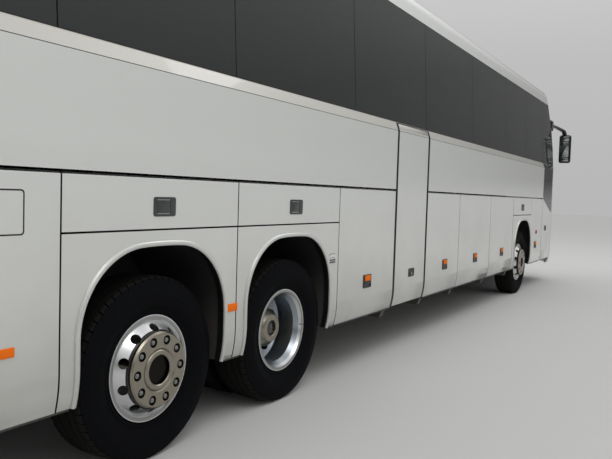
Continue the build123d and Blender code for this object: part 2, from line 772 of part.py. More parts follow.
def drive_axle():
    """The driven axle: casing, final drive, hub ends and four air springs on their arms."""
    tube = Rot(90, 0, 0) * Cylinder(80, 1500)
    drum = Sphere(205)
    nose = Rot(0, -90, 0) * Cone(150, 90, 230, align=(Align.CENTER, Align.CENTER, Align.MIN))
    ends = Rot(90, 0, 0) * Cylinder(DRIVE_END_RADIUS, 2 * (WHEEL_Y - 80))
    axle = Pos(DRIVE_X, 0, TYRE_RADIUS) * joined([tube, drum, nose, ends])
    pieces = [axle]
    for side in (1, -1):
        pieces.append(side_block(side, DRIVE_X - 480, DRIVE_X + 480, 390, 470, 430, 500))
        for step in (-420, 420):
            pieces.append(air_spring(DRIVE_X + step, side * 430, 490, 900))
    return joined(pieces)


def tag_axle():
    """The trailing axle: a plain beam with hub ends and two air springs."""
    tube = Rot(90, 0, 0) * Cylinder(TAG_BEAM_RADIUS, 2 * (WHEEL_Y + 50))
    pieces = [Pos(TAG_X, 0, TYRE_RADIUS) * tube]
    for side in (1, -1):
        pieces.append(side_block(side, TAG_X - 60, TAG_X + 60, 370, 490, 430, 600))
        pieces.append(air_spring(TAG_X, side * 430, 590, 900))
    return joined(pieces)


KINGPIN_RADIUS = 26
FIST_HEIGHT = 120


def front_axle():
    """The dropped front beam with an eye at each end for the kingpins, and its air springs."""
    pieces = [block(FRONT_AXLE_X - 55, FRONT_AXLE_X + 55, -700, 700, 380, 470)]
    for side in (1, -1):
        outline = Polyline(
            (side * 690, 380), (side * 880, TYRE_RADIUS - 50), (side * 940, TYRE_RADIUS - 50),
            (side * 940, TYRE_RADIUS + 50), (side * 850, TYRE_RADIUS + 50), (side * 660, 470), close=True,
        )
        pieces.append(along_x(make_face(outline), FRONT_AXLE_X - 45, FRONT_AXLE_X + 45))
        pieces.append(Pos(FRONT_AXLE_X, side * KINGPIN_Y, TYRE_RADIUS) * Cylinder(52, FIST_HEIGHT))
        pieces.append(side_block(side, FRONT_AXLE_X - 120, FRONT_AXLE_X + 120, 290, 430, 465, 520))
        pieces.append(air_spring(FRONT_AXLE_X, side * 355, 515, 820))
    beam = joined(pieces)
    for side in (1, -1):
        beam = beam - Pos(FRONT_AXLE_X, side * KINGPIN_Y, TYRE_RADIUS) * Cylinder(KINGPIN_RADIUS, 300)
    return beam


SPINDLE_RADIUS = 45
TAG_BEAM_RADIUS = 62
DRIVE_END_RADIUS = 60
FIT = 0.1  # running clearance round a spindle


def knuckle(side):
    """A forked steering knuckle: two ears round the beam's eye, the kingpin and the wheel spindle."""
    ear_z = FIST_HEIGHT / 2 + 3
    pieces = [Cylinder(KINGPIN_RADIUS - 0.05, 2 * ear_z + 60)]
    for sign in (1, -1):
        ear = Pos(0, 0, sign * (ear_z + 15)) * Cylinder(50, 30)
        web = side_block(side, -45, 45, 0, 108, sign * ear_z, sign * (ear_z + 30))
        pieces += [ear, web]
    pieces.append(side_block(side, -50, 50, 62, 112, -ear_z - 30, ear_z + 30))
    spindle = Rot(90, 0, 0) * Cylinder(SPINDLE_RADIUS, 100)
    pieces.append(Pos(0, side * 155, 0) * spindle)
    return Pos(FRONT_AXLE_X, side * KINGPIN_Y, TYRE_RADIUS) * joined(pieces)


# Wheels, drawn at the origin about the Y axis with the outer side at +Y
def tyre():
    """A low-profile coach tyre with square shoulders, as a ring."""
    half, out, bead = TYRE_WIDTH / 2, TYRE_RADIUS, BEAD_RADIUS
    outline = [
        Line((bead, -98), (bead, 98)),
        Line((bead, 98), (330, 118)),
        ThreePointArc((330, 118), (400, half), (470, 138)),
        ThreePointArc((470, 138), (505, 128), (out - 2, 100)),
        ThreePointArc((out - 2, 100), (out, 0), (out - 2, -100)),
        ThreePointArc((out - 2, -100), (505, -128), (470, -138)),
        ThreePointArc((470, -138), (400, -half), (330, -118)),
        Line((330, -118), (bead, -98)),
    ]
    return revolve(make_face(outline), Axis.Y)


DISC_PLANE = TWIN_SPACING / 2  # a rim's bolting face stands this far from its middle
RIM_HALF = 117


def rim_ring():
    """The barrel and its two flanges, drawn as radius and Y."""
    return Polyline(
        (BEAD_RADIUS, -74), (BEAD_RADIUS, -104), (RIM_RADIUS, -110), (RIM_RADIUS, -RIM_HALF),
        (276, -RIM_HALF), (264, -96), (240, -60), (240, 40), (262, 96), (276, RIM_HALF),
        (RIM_RADIUS, RIM_HALF), (RIM_RADIUS, 110), (BEAD_RADIUS, 104), (BEAD_RADIUS, 74),
        (250, 40), (250, -60), close=True,
    )


HUB_BORE = 141
NUTS = {"count": 10, "circle": 167.5, "pocket": 27}
HAND_HOLES = {"count": 10, "radius": 29, "middle": (229, 137), "normal": (60, 53)}


def turned(*points):
    """A solid turned about Y from its outline of (radius, Y) points."""
    return revolve(make_face(Polyline(*points, close=True)), Axis.Y)


def rim():
    """A disc wheel: barrel, cone with a ring of hand holes, and a flat bolting ring round the bore."""
    face, back = DISC_PLANE, DISC_PLANE - 14
    cone = turned(
        (266, 102), (213, face - 6), (200, face), (HUB_BORE, face), (HUB_BORE, back), (197, back),
        (205, back - 4), (256, 92), (266, 84),
    )
    wheel = revolve(make_face(rim_ring()), Axis.Y) + cone
    (radius, y), (out, along) = HAND_HOLES["middle"], HAND_HOLES["normal"]
    drill = Plane(origin=(radius, y, 0), z_dir=(out, along, 0)) * Cylinder(HAND_HOLES["radius"], 80)
    for i in range(HAND_HOLES["count"]):
        wheel = wheel - Rot(0, (i + 0.5) * 360 / HAND_HOLES["count"], 0) * drill
    return wheel


def disc(y0, y1, radius):
    """A round disc between two values of Y."""
    return Pos(0, (y0 + y1) / 2, 0) * Rot(90, 0, 0) * Cylinder(radius, y1 - y0)


def nut_cover():
    """The bright ring over the wheel nuts of a single wheel, with a round pocket for each nut."""
    y = DISC_PLANE - 1
    ring = turned((114, y), (213, y), (213, y + 12), (204, y + 23), (122, y + 23), (114, y + 17))
    for i in range(NUTS["count"]):
        place = Rot(0, i * 360 / NUTS["count"], 0) * Pos(NUTS["circle"], y + 12, 0) * Rot(90, 0, 0)
        ring = ring - place * Cylinder(NUTS["pocket"], 40)
    return ring


def single_rim(kind):
    """The rim and hub of a single front or tag wheel, with a blind bore for its spindle."""
    bore, inner_y, depth = {"front": (SPINDLE_RADIUS, -20, 165), "tag": (TAG_BEAM_RADIUS, -60, 125)}[kind]
    face, cap = DISC_PLANE, DISC_PLANE + 24
    hub = turned(
        (0, inner_y), (96, inner_y), (96, face - 32), (190, face - 32), (190, face - 14),
        (HUB_BORE + 1, face - 14), (HUB_BORE + 1, face), (115, face), (113, cap - 6), (107, cap), (87, cap),
        (81, cap - 6), (81, face + 4), (0, face + 4),
    )
    return rim() + hub + nut_cover() - disc(inner_y, inner_y + depth, bore + FIT)


def twin_rims():
    """Both rims of a twin wheel, back to back, and the driven hub. Y is measured from the outer tyre."""
    outer = mirror(rim(), Plane.XZ)
    inner = Pos(0, -TWIN_SPACING, 0) * rim()
    inner_y, seat_y = 20 - TWIN_SPACING, -DISC_PLANE
    hub = turned(
        (0, inner_y), (96, inner_y), (96, seat_y - 32), (190, seat_y - 32), (190, seat_y - 14),
        (HUB_BORE + 1, seat_y - 14), (HUB_BORE + 1, -32), (134, -14), (102, 22), (94, 26), (60, 26),
        (56, 22), (56, 2), (0, 2),
    )
    return joined([inner, outer, hub]) - disc(inner_y, inner_y + 246, DRIVE_END_RADIUS + FIT)


def placed(shape, side, x):
    """A wheel piece moved to its place on one side."""
    piece = shape if side > 0 else mirror(shape, Plane.XZ)
    return Pos(x, side * WHEEL_Y, TYRE_RADIUS) * piece


# Inside the cabin
SEAT_PITCH = 830
SEAT_HALF = 478
SEAT_Y = 688
ROW_COUNT = 13
FIRST_ROW_X = 7000


def seat_profile(x):
    """A seat's side view: cushion, reclined back and head rest, over a pedestal."""
    z = DECK_Z
    outline = Polyline(
        (x, z + 370), (x + 480, z + 400), (x + 500, z + 460), (x + 470, z + 490), (x + 90, z + 470),
        (x - 130, z + 1140), (x - 190, z + 1190), (x - 240, z + 1150), (x - 60, z + 440), close=True,
    )
    return make_face(outline)


def twin_seat(x, y):
    """Two seats side by side on one pedestal."""
    row = along_y(seat_profile(x), y - SEAT_HALF, y + SEAT_HALF)
    row = row - block(x - 300, x + 600, y - 12, y + 12, DECK_Z + 475, DECK_Z + 1300)
    return row + block(x + 80, x + 380, y - 260, y + 260, DECK_Z, DECK_Z + 400)


def passenger_seats():
    """Rows of twin seats on both sides, with none over the middle steps."""
    seats = []
    for side in (1, -1):
        for row in range(ROW_COUNT):
            station = FIRST_ROW_X - row * SEAT_PITCH
            blocked = side < 0 and MID_DOOR[0] - 500 < station < MID_DOOR[1] + 300
            if not blocked:
                seats.append(twin_seat(at(station), side * SEAT_Y))
    return seats


def driver_seat():
    """The driver's seat on its sprung base."""
    x, y, z = at(8230), 640, PLATFORM_Z
    outline = Polyline(
        (x, z + 380), (x + 480, z + 400), (x + 500, z + 480), (x + 90, z + 500), (x - 60, z + 1150),
        (x - 150, z + 1160), (x - 110, z + 480), close=True,
    )
    seat = along_y(make_face(outline), y - 250, y + 250)
    return seat + block(x + 60, x + 400, y - 170, y + 170, z, z + 400)


COLUMN_FOOT = (at(9130), 640, 1300)
COLUMN_TILT = 32
WHEEL_CENTRE = (at(8930), 640, 1300 + 200 / math.tan(math.radians(COLUMN_TILT)))


def dashboard():
    """The dashboard across the nose, with the steering column."""
    outline = Polyline(
        (at(9050), PLATFORM_Z), (at(9600), PLATFORM_Z), (at(9800), 1480), (at(9480), 1500),
        (at(9250), 1640), (at(9120), 1600), (at(9060), 1300), close=True,
    )
    desk = along_y(make_face(outline), -420, 1225) & hull(WALL + 30)
    foot, top = Vector(*COLUMN_FOOT), Vector(*WHEEL_CENTRE)
    return desk + rod(foot, foot + (top - foot) * 0.86, 45)


def steering_wheel():
    """The steering wheel: rim, three spokes and a boss, square to its column."""
    ring = Torus(222, 16)
    spokes = [Rot(0, 0, a) * Pos(110, 0, 0) * Box(210, 34, 14) for a in (90, 210, 330)]
    boss = Cylinder(62, 40)
    wheel = joined([ring, boss, *spokes])
    foot, top = Vector(*COLUMN_FOOT), Vector(*WHEEL_CENTRE)
    return Plane(origin=top, z_dir=top - foot) * wheel


def parcel_racks():
    """The overhead racks along both sides."""
    racks = []
    for side in (1, -1):
        shelf = Polyline(
            (side * 1250, 3060), (side * 820, 3120), (side * 790, 3180), (side * 800, 3260),
            (side * 830, 3260), (side * 840, 3170), (side * 1250, 3100), close=True,
        )
        racks.append(inside(along_x(make_face(shelf), REAR_X + 400, at(7700))))
    return racks


# Wipers and mirrors
WIPER = {
    "pivots": (-700, 160), "pivot_z": 1240, "reach": (400, 250), "blade": (860, 22), "arm": 30, "lean": 5,
}


def wipers():
    """Two wipers parked along the foot of the windscreen, bent to its bow, on spindles in the nose."""
    sheet = hull(-3 * LIP_PROUD) - PROUD
    found = []
    for pivot_y in WIPER["pivots"]:
        pivot = (pivot_y, WIPER["pivot_z"])
        middle = (pivot_y + WIPER["reach"][0], WIPER["pivot_z"] + WIPER["reach"][1])
        blade = Pos(*middle) * Rot(0, 0, WIPER["lean"]) * Rectangle(*WIPER["blade"])
        arm = trace(Line(pivot, middle), WIPER["arm"])
        ahead = (FRONT_X - 400, FRONT_X + 50)
        spindle = along_x(Pos(*pivot) * Circle(24), *ahead) & hull(-3 * LIP_PROUD)
        found.append((sheet & along_x(blade, *ahead)) + (sheet & along_x(arm, *ahead)) + (spindle - OUTER))
    return found


MIRROR_Y = 1355
MIRROR_X = FRONT_X + 50
MIRROR_Z = (2310, 2870)
FOOT_X, FOOT_Y, FOOT_Z = FRONT_X - 540, 1140, 3000


def mirrors():
    """Hanging mirrors on sloping arms, which stand on feet at the top corners of the nose."""
    found = []
    low, high = MIRROR_Z
    for side in (1, -1):
        case = Pos(MIRROR_X, side * MIRROR_Y, (low + high) / 2) * Box(120, 220, high - low)
        case = fillet(case.edges(), 40)
        foot = Pos(FOOT_X, side * FOOT_Y, FOOT_Z) * Box(220, 150, 220)
        foot = fillet(foot.edges(), 50)
        points = [
            (FOOT_X, side * (FOOT_Y + 10), FOOT_Z + 15), (MIRROR_X - 320, side * 1225, FOOT_Z - 5),
            (MIRROR_X - 40, side * 1320, high + 75), (MIRROR_X, side * MIRROR_Y, high - 45),
        ]
        path = FilletPolyline(*points, radius=60)
        start = Plane(origin=path @ 0, z_dir=path % 0)
        arm = sweep(start * Ellipse(48, 30), path)
        found.append(joined([foot, arm, case]) - OUTER)
    return found


def export(name, shapes):
    """Writes one node's solids as one STEP file."""
    solids = []
    for shape in shapes if isinstance(shapes, list) else [shapes]:
        solids += shape.solids()
    export_step(Compound(children=solids), f"parts/{name}.step")


def main():
    os.makedirs("parts", exist_ok=True)
    nodes = {
        "underframe": underframe(),
        "wheel_boxes": wheel_boxes(),
        "cabin_floor": cabin_floor(),
        "side_wall_right": side_wall(-1),
        "side_wall_left": side_wall(1),
        "skirt_panels_right": skirt_panels(-1),
        "skirt_panels_left": skirt_panels(1),
        "roof": roof(),
        "roof_pod": roof_pod(),
        "front_panel": front_panel(),
        "windscreen_frame": windscreen_frame(),
        "rear_panel": rear_panel(),
        "windscreen": windscreen(),
        "side_glass": side_glass(),
        "rear_glass": rear_glass(),
        "passenger_seats": passenger_seats(),
        "driver_seat": driver_seat(),
        "dashboard": dashboard(),
        "parcel_racks": parcel_racks(),
        "headlamps": headlamps(),
        "tail_lamps": tail_lamps(),
        "mirrors": mirrors(),
        "wipers": wipers(),
        "engine": engine(),
        "front_axle": front_axle(),
        "drive_axle": drive_axle(),
        "tag_axle": tag_axle(),
        "knuckle_left": knuckle(1),
        "knuckle_right": knuckle(-1),
        "steering_wheel": steering_wheel(),
        "front_door": front_door(),
        "front_door_glass": front_door_glass(),
        "front_door_arms": door_arms(FRONT_DOOR, ARM_LEVELS["front"]),
        "mid_door": mid_door(),
        "mid_door_arms": door_arms(MID_DOOR, ARM_LEVELS["mid"]),
        "engine_door": engine_door(),
    }
    ring, single_front, single_tag, twin = tyre(), single_rim("front"), single_rim("tag"), twin_rims()
    for side, word in ((1, "left"), (-1, "right")):
        nodes[f"front_tyre_{word}"] = placed(ring, side, FRONT_AXLE_X)
        nodes[f"front_rim_{word}"] = placed(single_front, side, FRONT_AXLE_X)
        nodes[f"drive_tyres_{word}"] = [
            placed(ring, side, DRIVE_X), placed(Pos(0, -TWIN_SPACING, 0) * ring, side, DRIVE_X)
        ]
        nodes[f"drive_rims_{word}"] = placed(twin, side, DRIVE_X)
        nodes[f"tag_tyre_{word}"] = placed(ring, side, TAG_X)
        nodes[f"tag_rim_{word}"] = placed(single_tag, side, TAG_X)
    for side, word, rows in ((-1, "right", FLAPS_RIGHT), (1, "left", FLAPS_LEFT)):
        for number, (start, end) in enumerate(rows, 1):
            nodes[f"flap_{word}_{number}"] = flap(side, start, end)
    for name, shapes in nodes.items():
        export(name, shapes)


main()
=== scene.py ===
"""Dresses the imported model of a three-axle touring coach: finishes, wheels, lamps, seals, seats and stage."""

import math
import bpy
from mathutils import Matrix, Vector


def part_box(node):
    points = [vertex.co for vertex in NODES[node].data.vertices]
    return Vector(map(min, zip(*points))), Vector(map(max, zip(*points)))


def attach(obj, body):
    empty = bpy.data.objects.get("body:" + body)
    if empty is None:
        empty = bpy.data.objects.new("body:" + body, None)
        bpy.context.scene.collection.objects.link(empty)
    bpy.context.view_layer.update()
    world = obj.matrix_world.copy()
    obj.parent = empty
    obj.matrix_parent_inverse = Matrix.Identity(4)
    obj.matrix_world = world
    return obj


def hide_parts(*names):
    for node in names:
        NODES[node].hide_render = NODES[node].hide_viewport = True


bl_info = {
    "name": "Touring coach",
    "version": (1, 0, 0),
    "blender": (4, 5, 0),
    "location": "3D View > Sidebar > Coach",
    "description": "Dresses the packed model of a three-axle touring coach",
    "category": "Object",
}

import bpy
from mathutils import Matrix, Vector

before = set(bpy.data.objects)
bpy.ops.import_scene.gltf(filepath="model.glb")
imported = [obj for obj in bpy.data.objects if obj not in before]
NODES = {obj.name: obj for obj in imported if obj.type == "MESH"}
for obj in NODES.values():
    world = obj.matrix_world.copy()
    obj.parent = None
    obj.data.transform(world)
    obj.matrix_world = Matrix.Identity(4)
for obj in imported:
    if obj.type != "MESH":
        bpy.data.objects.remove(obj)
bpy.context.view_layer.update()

# Places that the frame gives
SIDES = {"right": -1, "left": 1}


def tyre_node(axle, word):
    """The CAD node of a wheel's tyre, or of its twin tyres."""
    return f"drive_tyres_{word}" if axle == "drive" else f"{axle}_tyre_{word}"


def wheel_centre(axle, word):
    """The centre of an outer tyre."""
    low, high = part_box(tyre_node(axle, word))
    tyre_low, tyre_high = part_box(f"front_tyre_{word}")
    width = tyre_high.y - tyre_low.y
    out = high.y - width / 2 if word == "left" else low.y + width / 2
    return Vector(((low.x + high.x) / 2, out, (low.z + high.z) / 2))


DRIVE_X = wheel_centre("drive", "right").x
TYRE_LOW, TYRE_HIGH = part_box("front_tyre_left")
TYRE_RADIUS = (TYRE_HIGH.z - TYRE_LOW.z) / 2
TYRE_HALF = (TYRE_HIGH.y - TYRE_LOW.y) / 2
HALF_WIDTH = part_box("flap_left_1")[1].y
SKIRT_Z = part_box("flap_right_1")[0].z


def at(station):
    """X of a place given in metres ahead of the drive axle."""
    return DRIVE_X + station


# Sizes and colours that a user would change
class CoachSizes(bpy.types.PropertyGroup):
    """Sizes of the pieces that this script adds."""

    groove_depth: bpy.props.FloatProperty(
        name="Tread groove depth", description="Depth of a tyre's grooves", default=0.013, unit="LENGTH"
    )
    groove_width: bpy.props.FloatProperty(
        name="Tread groove width", description="Width of a tyre's grooves", default=0.011, unit="LENGTH"
    )
    bolt_circle: bpy.props.FloatProperty(
        name="Bolt circle", description="Diameter of the circle of wheel nuts", default=0.335, unit="LENGTH"
    )
    nut_width: bpy.props.FloatProperty(
        name="Nut width", description="Width across the flats of a wheel nut", default=0.027, unit="LENGTH"
    )


class CoachColours(bpy.types.PropertyGroup):
    """Colours of the finishes."""

    paint: bpy.props.FloatVectorProperty(
        name="Body paint", description="Pearl silver", subtype="COLOR", default=(0.89, 0.91, 0.88)
    )
    rubber: bpy.props.FloatVectorProperty(
        name="Rubber", description="Tyres and seals", subtype="COLOR", default=(0.003, 0.0034, 0.0045)
    )
    metal: bpy.props.FloatVectorProperty(
        name="Wheel metal", description="Polished aluminium", subtype="COLOR", default=(0.78, 0.79, 0.80)
    )
    hub: bpy.props.FloatVectorProperty(
        name="Hub metal", description="Champagne grey", subtype="COLOR", default=(0.345, 0.315, 0.258)
    )
    amber: bpy.props.FloatVectorProperty(
        name="Amber lens", description="Side lamps", subtype="COLOR", default=(0.92, 0.185, 0.016)
    )
    cloth: bpy.props.FloatVectorProperty(
        name="Woven cloth", description="Main seat colour", subtype="COLOR", default=(0.035, 0.06, 0.13)
    )


def sizes():
    return bpy.context.scene.coach_sizes


def colours():
    return bpy.context.scene.coach_colours


# Modelling helpers
MERGE_DISTANCE = 0.00005
MIRROR_Y = Matrix.Scale(-1, 4, (0, 1, 0))


def calm():
    """Leaves edit mode and deselects everything."""
    if bpy.context.object and bpy.context.object.mode != "OBJECT":
        bpy.ops.object.mode_set(mode="OBJECT")
    bpy.ops.object.select_all(action="DESELECT")


def pick(piece):
    """Makes one object the only selected and active one."""
    calm()
    piece.select_set(True)
    bpy.context.view_layer.objects.active = piece
    return piece


def settle(name):
    """Names the active object and moves its place into its mesh."""
    piece = bpy.context.object
    bpy.ops.object.transform_apply(location=True, rotation=True, scale=True)
    piece.name = name
    piece.data.name = name
    return piece


def block(name, low, high):
    """A box between two corners."""
    calm()
    low, high = Vector(low), Vector(high)
    bpy.ops.mesh.primitive_cube_add(size=1, location=(low + high) / 2)
    bpy.context.object.scale = [abs(b - a) for a, b in zip(low, high)]
    return settle(name)


def side_block(name, side, x0, x1, y0, y1, z0, z1):
    """A box on one side, with y0 and y1 measured out from the middle."""
    return block(name, (x0, side * y0, z0), (x1, side * y1, z1))


def tube(name, start, end, radius, sides=24):
    """A closed cylinder between two points."""
    calm()
    start, end = Vector(start), Vector(end)
    turn = (end - start).to_track_quat("Z", "Y").to_euler()
    bpy.ops.mesh.primitive_cylinder_add(
        vertices=sides, radius=radius, depth=(end - start).length, location=(start + end) / 2, rotation=turn
    )
    return settle(name)


def draw_line(points):
    """Draws a line through points in a new mesh, and stays in edit mode with all of it selected."""
    calm()
    bpy.ops.mesh.primitive_plane_add(size=0.01, location=points[0])
    bpy.ops.object.transform_apply(location=True, rotation=False, scale=False)
    bpy.ops.object.mode_set(mode="EDIT")
    bpy.ops.mesh.select_all(action="SELECT")
    bpy.ops.mesh.merge(type="CENTER")
    for here, there in zip(points, points[1:]):
        bpy.ops.mesh.extrude_region_move(TRANSFORM_OT_translate={"value": there - here})
    bpy.ops.mesh.select_all(action="SELECT")


def closed_up(name):
    """Merges doubles, turns the faces outwards and leaves edit mode."""
    bpy.ops.mesh.select_all(action="SELECT")
    bpy.ops.mesh.remove_doubles(threshold=MERGE_DISTANCE)
    bpy.ops.mesh.normals_make_consistent(inside=False)
    bpy.ops.object.mode_set(mode="OBJECT")
    return settle(name)


def lathe(name, outline, centre, steps):
    """Spins an outline of (radius, Y) pairs about the Y axis through centre."""
    centre = Vector(centre)
    draw_line([centre + Vector((0, y, radius)) for radius, y in outline])
    bpy.ops.mesh.spin(steps=steps, angle=math.tau, center=centre, axis=(0, 1, 0))
    return closed_up(name)


def prism(name, outline, axis, depth):
    """A flat outline of points, filled and extruded along axis by depth."""
    points = [Vector(point) for point in outline]
    draw_line([*points, points[0]])
    bpy.ops.mesh.remove_doubles(threshold=MERGE_DISTANCE)
    bpy.ops.mesh.select_all(action="SELECT")
    bpy.ops.mesh.edge_face_add()
    bpy.ops.mesh.extrude_region_move(TRANSFORM_OT_translate={"value": Vector(axis) * depth})
    return closed_up(name)


def sweep(name, points, radius, sides):
    """A round bar along a path of points."""
    calm()
    bpy.ops.curve.primitive_nurbs_path_add(location=(0, 0, 0))
    bar = bpy.context.object
    bar.data.splines.clear()
    spline = bar.data.splines.new("POLY")
    spline.points.add(len(points) - 1)
    for knot, point in zip(spline.points, points):
        knot.co = (*point, 1)
    bar.data.bevel_depth = radius
    bar.data.bevel_resolution = max(1, sides // 4 - 1)
    bar.data.use_fill_caps = True
    bpy.ops.object.convert(target="MESH")
    return settle(name)


def modify(piece, kind, **settings):
    """Adds one modifier with its settings and applies it."""
    pick(piece)
    bpy.ops.object.modifier_add(type=kind)
    modifier = piece.modifiers[-1]
    for key, value in settings.items():
        setattr(modifier, key, value)
    bpy.ops.object.modifier_apply(modifier=modifier.name)
    return piece


def soften(piece, width=0.002, segments=2, angle=35):
    """Rounds a piece's sharp edges and shades it."""
    limit = math.radians(angle)
    modify(piece, "BEVEL", width=width, segments=segments, limit_method="ANGLE", angle_limit=limit)
    return shade(piece)


def shade(piece, angle=35):
    """Smooth shading that keeps edges sharper than angle."""
    pick(piece)
    bpy.ops.object.shade_smooth_by_angle(angle=math.radians(angle))
    return piece


def corners(piece, radius, axis="y"):
    """Rounds the edges that run through a plate along an axis, then its face edges a little."""
    pick(piece)
    bpy.ops.object.mode_set(mode="EDIT")
    bpy.ops.mesh.select_mode(type="EDGE")
    bpy.ops.mesh.select_all(action="DESELECT")
    bpy.ops.object.mode_set(mode="OBJECT")
    for edge in piece.data.edges:
        start, end = [getattr(piece.data.vertices[i].co, axis) for i in edge.vertices]
        edge.select = abs(start - end) > 0.001
    bpy.ops.object.mode_set(mode="EDIT")
    bpy.ops.mesh.bevel(offset=radius, segments=6, affect="EDGES")
    bpy.ops.mesh.select_mode(type="VERT")
    bpy.ops.object.mode_set(mode="OBJECT")
    return soften(piece, 0.0012, 2)


def cut(piece, cutter):
    """Takes the cutter out of a piece and deletes it."""
    modify(piece, "BOOLEAN", operation="DIFFERENCE", object=cutter, solver="EXACT")
    bpy.data.objects.remove(cutter)
    return piece


def joined(name, pieces):
    """Several objects as one mesh."""
    calm()
    for piece in pieces:
        piece.select_set(True)
    bpy.context.view_layer.objects.active = pieces[0]
    bpy.ops.object.join()
    return settle(name)


def copy_of(piece, name, move):
    """A copy with its own mesh, moved by a matrix. A mirrored copy gets its faces turned back outwards."""
    twin = piece.copy()
    twin.data = piece.data.copy()
    bpy.context.scene.collection.objects.link(twin)
    twin.data.transform(move)
    if move.determinant() < 0:
        twin.data.flip_normals()
    twin.name = name
    twin.data.name = name
    return twin


def coat(piece, finish):
    """Gives a piece or a CAD node one finish all over."""
    piece.data.materials.clear()
    piece.data.materials.append(bpy.data.materials[finish])


def fitted(piece, body, finish):
    """Gives a finished piece its finish, and the body that it rides on."""
    coat(piece, finish)
    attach(piece, body)
    return piece


# The body's side as a curve, which strips and fittings follow
TUCK_RADIUS = 0.731
TUCK_Z = 0.64
SHOULDER_Z = 2.149
SILL_Z = 2.225
CANTRAIL_Z = 3.342
SHOULDER_STEP = 0.025
BAND_LEAN = 0.065
SCREEN_BANDS = (1.40, 2.98)  # the windscreen is clear between these levels


def skin_y(z):
    """How far out the body's side stands at a level."""
    if z < TUCK_Z:
        return HALF_WIDTH - TUCK_RADIUS + math.sqrt(TUCK_RADIUS**2 - (TUCK_Z - z) ** 2)
    if z <= SHOULDER_Z:
        return HALF_WIDTH
    if z <= SILL_Z:
        return HALF_WIDTH - SHOULDER_STEP * (z - SHOULDER_Z) / (SILL_Z - SHOULDER_Z)
    return HALF_WIDTH - SHOULDER_STEP - BAND_LEAN * (z - SILL_Z) / (CANTRAIL_Z - SILL_Z)


def side_strip(name, side, x0, x1, z0, z1, out, inner):
    """A strip that follows the side between two levels, from inner to out metres off the skin."""
    bends = [z for z in (TUCK_Z, SHOULDER_Z, SILL_Z) if z0 < z < z1]
    if z0 < TUCK_Z:
        bends += [z0 + (min(z1, TUCK_Z) - z0) * share for share in (0.25, 0.5, 0.75)]
    levels = sorted({z0, z1, *bends})
    outline = [(x0, side * (skin_y(z) + out), z) for z in levels]
    outline += [(x0, side * (skin_y(z) + inner), z) for z in reversed(levels)]
    return prism(name, outline, (1, 0, 0), x1 - x0)


# Finishes
# Tone of road dust, also used as painted shade low on the paint
DUST_AND_SHADE = (0.23, 0.21, 0.185, 1)
# Black of the trims, also used as painted shade on the skirt's returns and gap walls
TRIM_AND_SHADE_BLACK = (0.012, 0.012, 0.013, 1)
GLOSS_BLACK = (0.006, 0.006, 0.007, 1)
TRIM_GRAIN = (260, 0.15, 0.0001)
LENS_GRAIN = (900, 0.08, 0.0004, 0.6)


class Tree:
    """Short ways to fill a shader's node tree."""

    def __init__(self, tree):
        self.nodes, self.links = tree.nodes, tree.links

    def node(self, kind, **settings):
        made = self.nodes.new(kind)
        for key, value in settings.items():
            setattr(made, key, value)
        return made

    def math(self, operation, *terms):
        """The outcome of one sum; each term is a number or a socket."""
        made = self.node("ShaderNodeMath", operation=operation)
        for socket, term in zip(made.inputs, terms):
            if isinstance(term, (int, float)):
                socket.default_value = term
            else:
                self.links.new(term, socket)
        return made.outputs[0]

    def place(self):
        """Object coordinates."""
        return self.node("ShaderNodeTexCoord").outputs["Object"]

    def texture(self, kind, settings=(), **values):
        """A node that reads Object coordinates, with its settings and the values of its sockets."""
        made = self.node(kind, **dict(settings))
        for socket, value in values.items():
            made.inputs[socket].default_value = value
        self.links.new(self.place(), made.inputs["Vector"])
        return made

    def axis(self, name):
        """One Object coordinate."""
        return self.texture("ShaderNodeSeparateXYZ").outputs[name]


class Group(Tree):
    """A shader node group whose inputs and outputs are numbers."""

    def __init__(self, name, inputs, outputs):
        tree = bpy.data.node_groups.new(name, "ShaderNodeTree")
        super().__init__(tree)
        for socket, value in inputs.items():
            made = tree.interface.new_socket(socket, in_out="INPUT", socket_type="NodeSocketFloat")
            made.default_value = value
        for socket in outputs:
            tree.interface.new_socket(socket, in_out="OUTPUT", socket_type="NodeSocketFloat")
        self.given = self.node("NodeGroupInput").outputs
        self.result = self.node("NodeGroupOutput").inputs


def group_grain():
    """A fine uneven grain: a roughness and a height that vary over the surface."""
    group = Group("Fine grain", {"Scale": 60.0, "Roughness": 0.4, "Spread": 0.1}, ["Roughness", "Height"])
    noise = group.texture("ShaderNodeTexNoise", Detail=5)
    group.links.new(group.given["Scale"], noise.inputs["Scale"])
    centred = group.math("SUBTRACT", noise.outputs["Fac"], 0.5)
    uneven = group.math("MULTIPLY_ADD", centred, group.given["Spread"], group.given["Roughness"])
    group.links.new(uneven, group.result["Roughness"])
    group.links.new(noise.outputs["Fac"], group.result["Height"])


def group_film():
    """Road film, which on the paint is partly painted shade: a mask that is full near the ground, fades out
    with height and is uneven.
    """
    group = Group("Road film and low shade", {"Low": 0.3, "High": 1.1, "Amount": 0.3}, ["Mask"])
    fade = group.node("ShaderNodeMapRange")
    group.links.new(group.axis("Z"), fade.inputs["Value"])
    group.links.new(group.given["Low"], fade.inputs["From Min"])
    group.links.new(group.given["High"], fade.inputs["From Max"])
    fade.inputs["To Min"].default_value = 1
    fade.inputs["To Max"].default_value = 0
    noise = group.texture("ShaderNodeTexNoise", Scale=2.2, Detail=6)
    level = group.math("MULTIPLY_ADD", noise.outputs["Fac"], 0.4, 0.3)
    uneven = group.math("MULTIPLY", fade.outputs[0], level)
    group.links.new(group.math("MULTIPLY", uneven, group.given["Amount"]), group.result["Mask"])


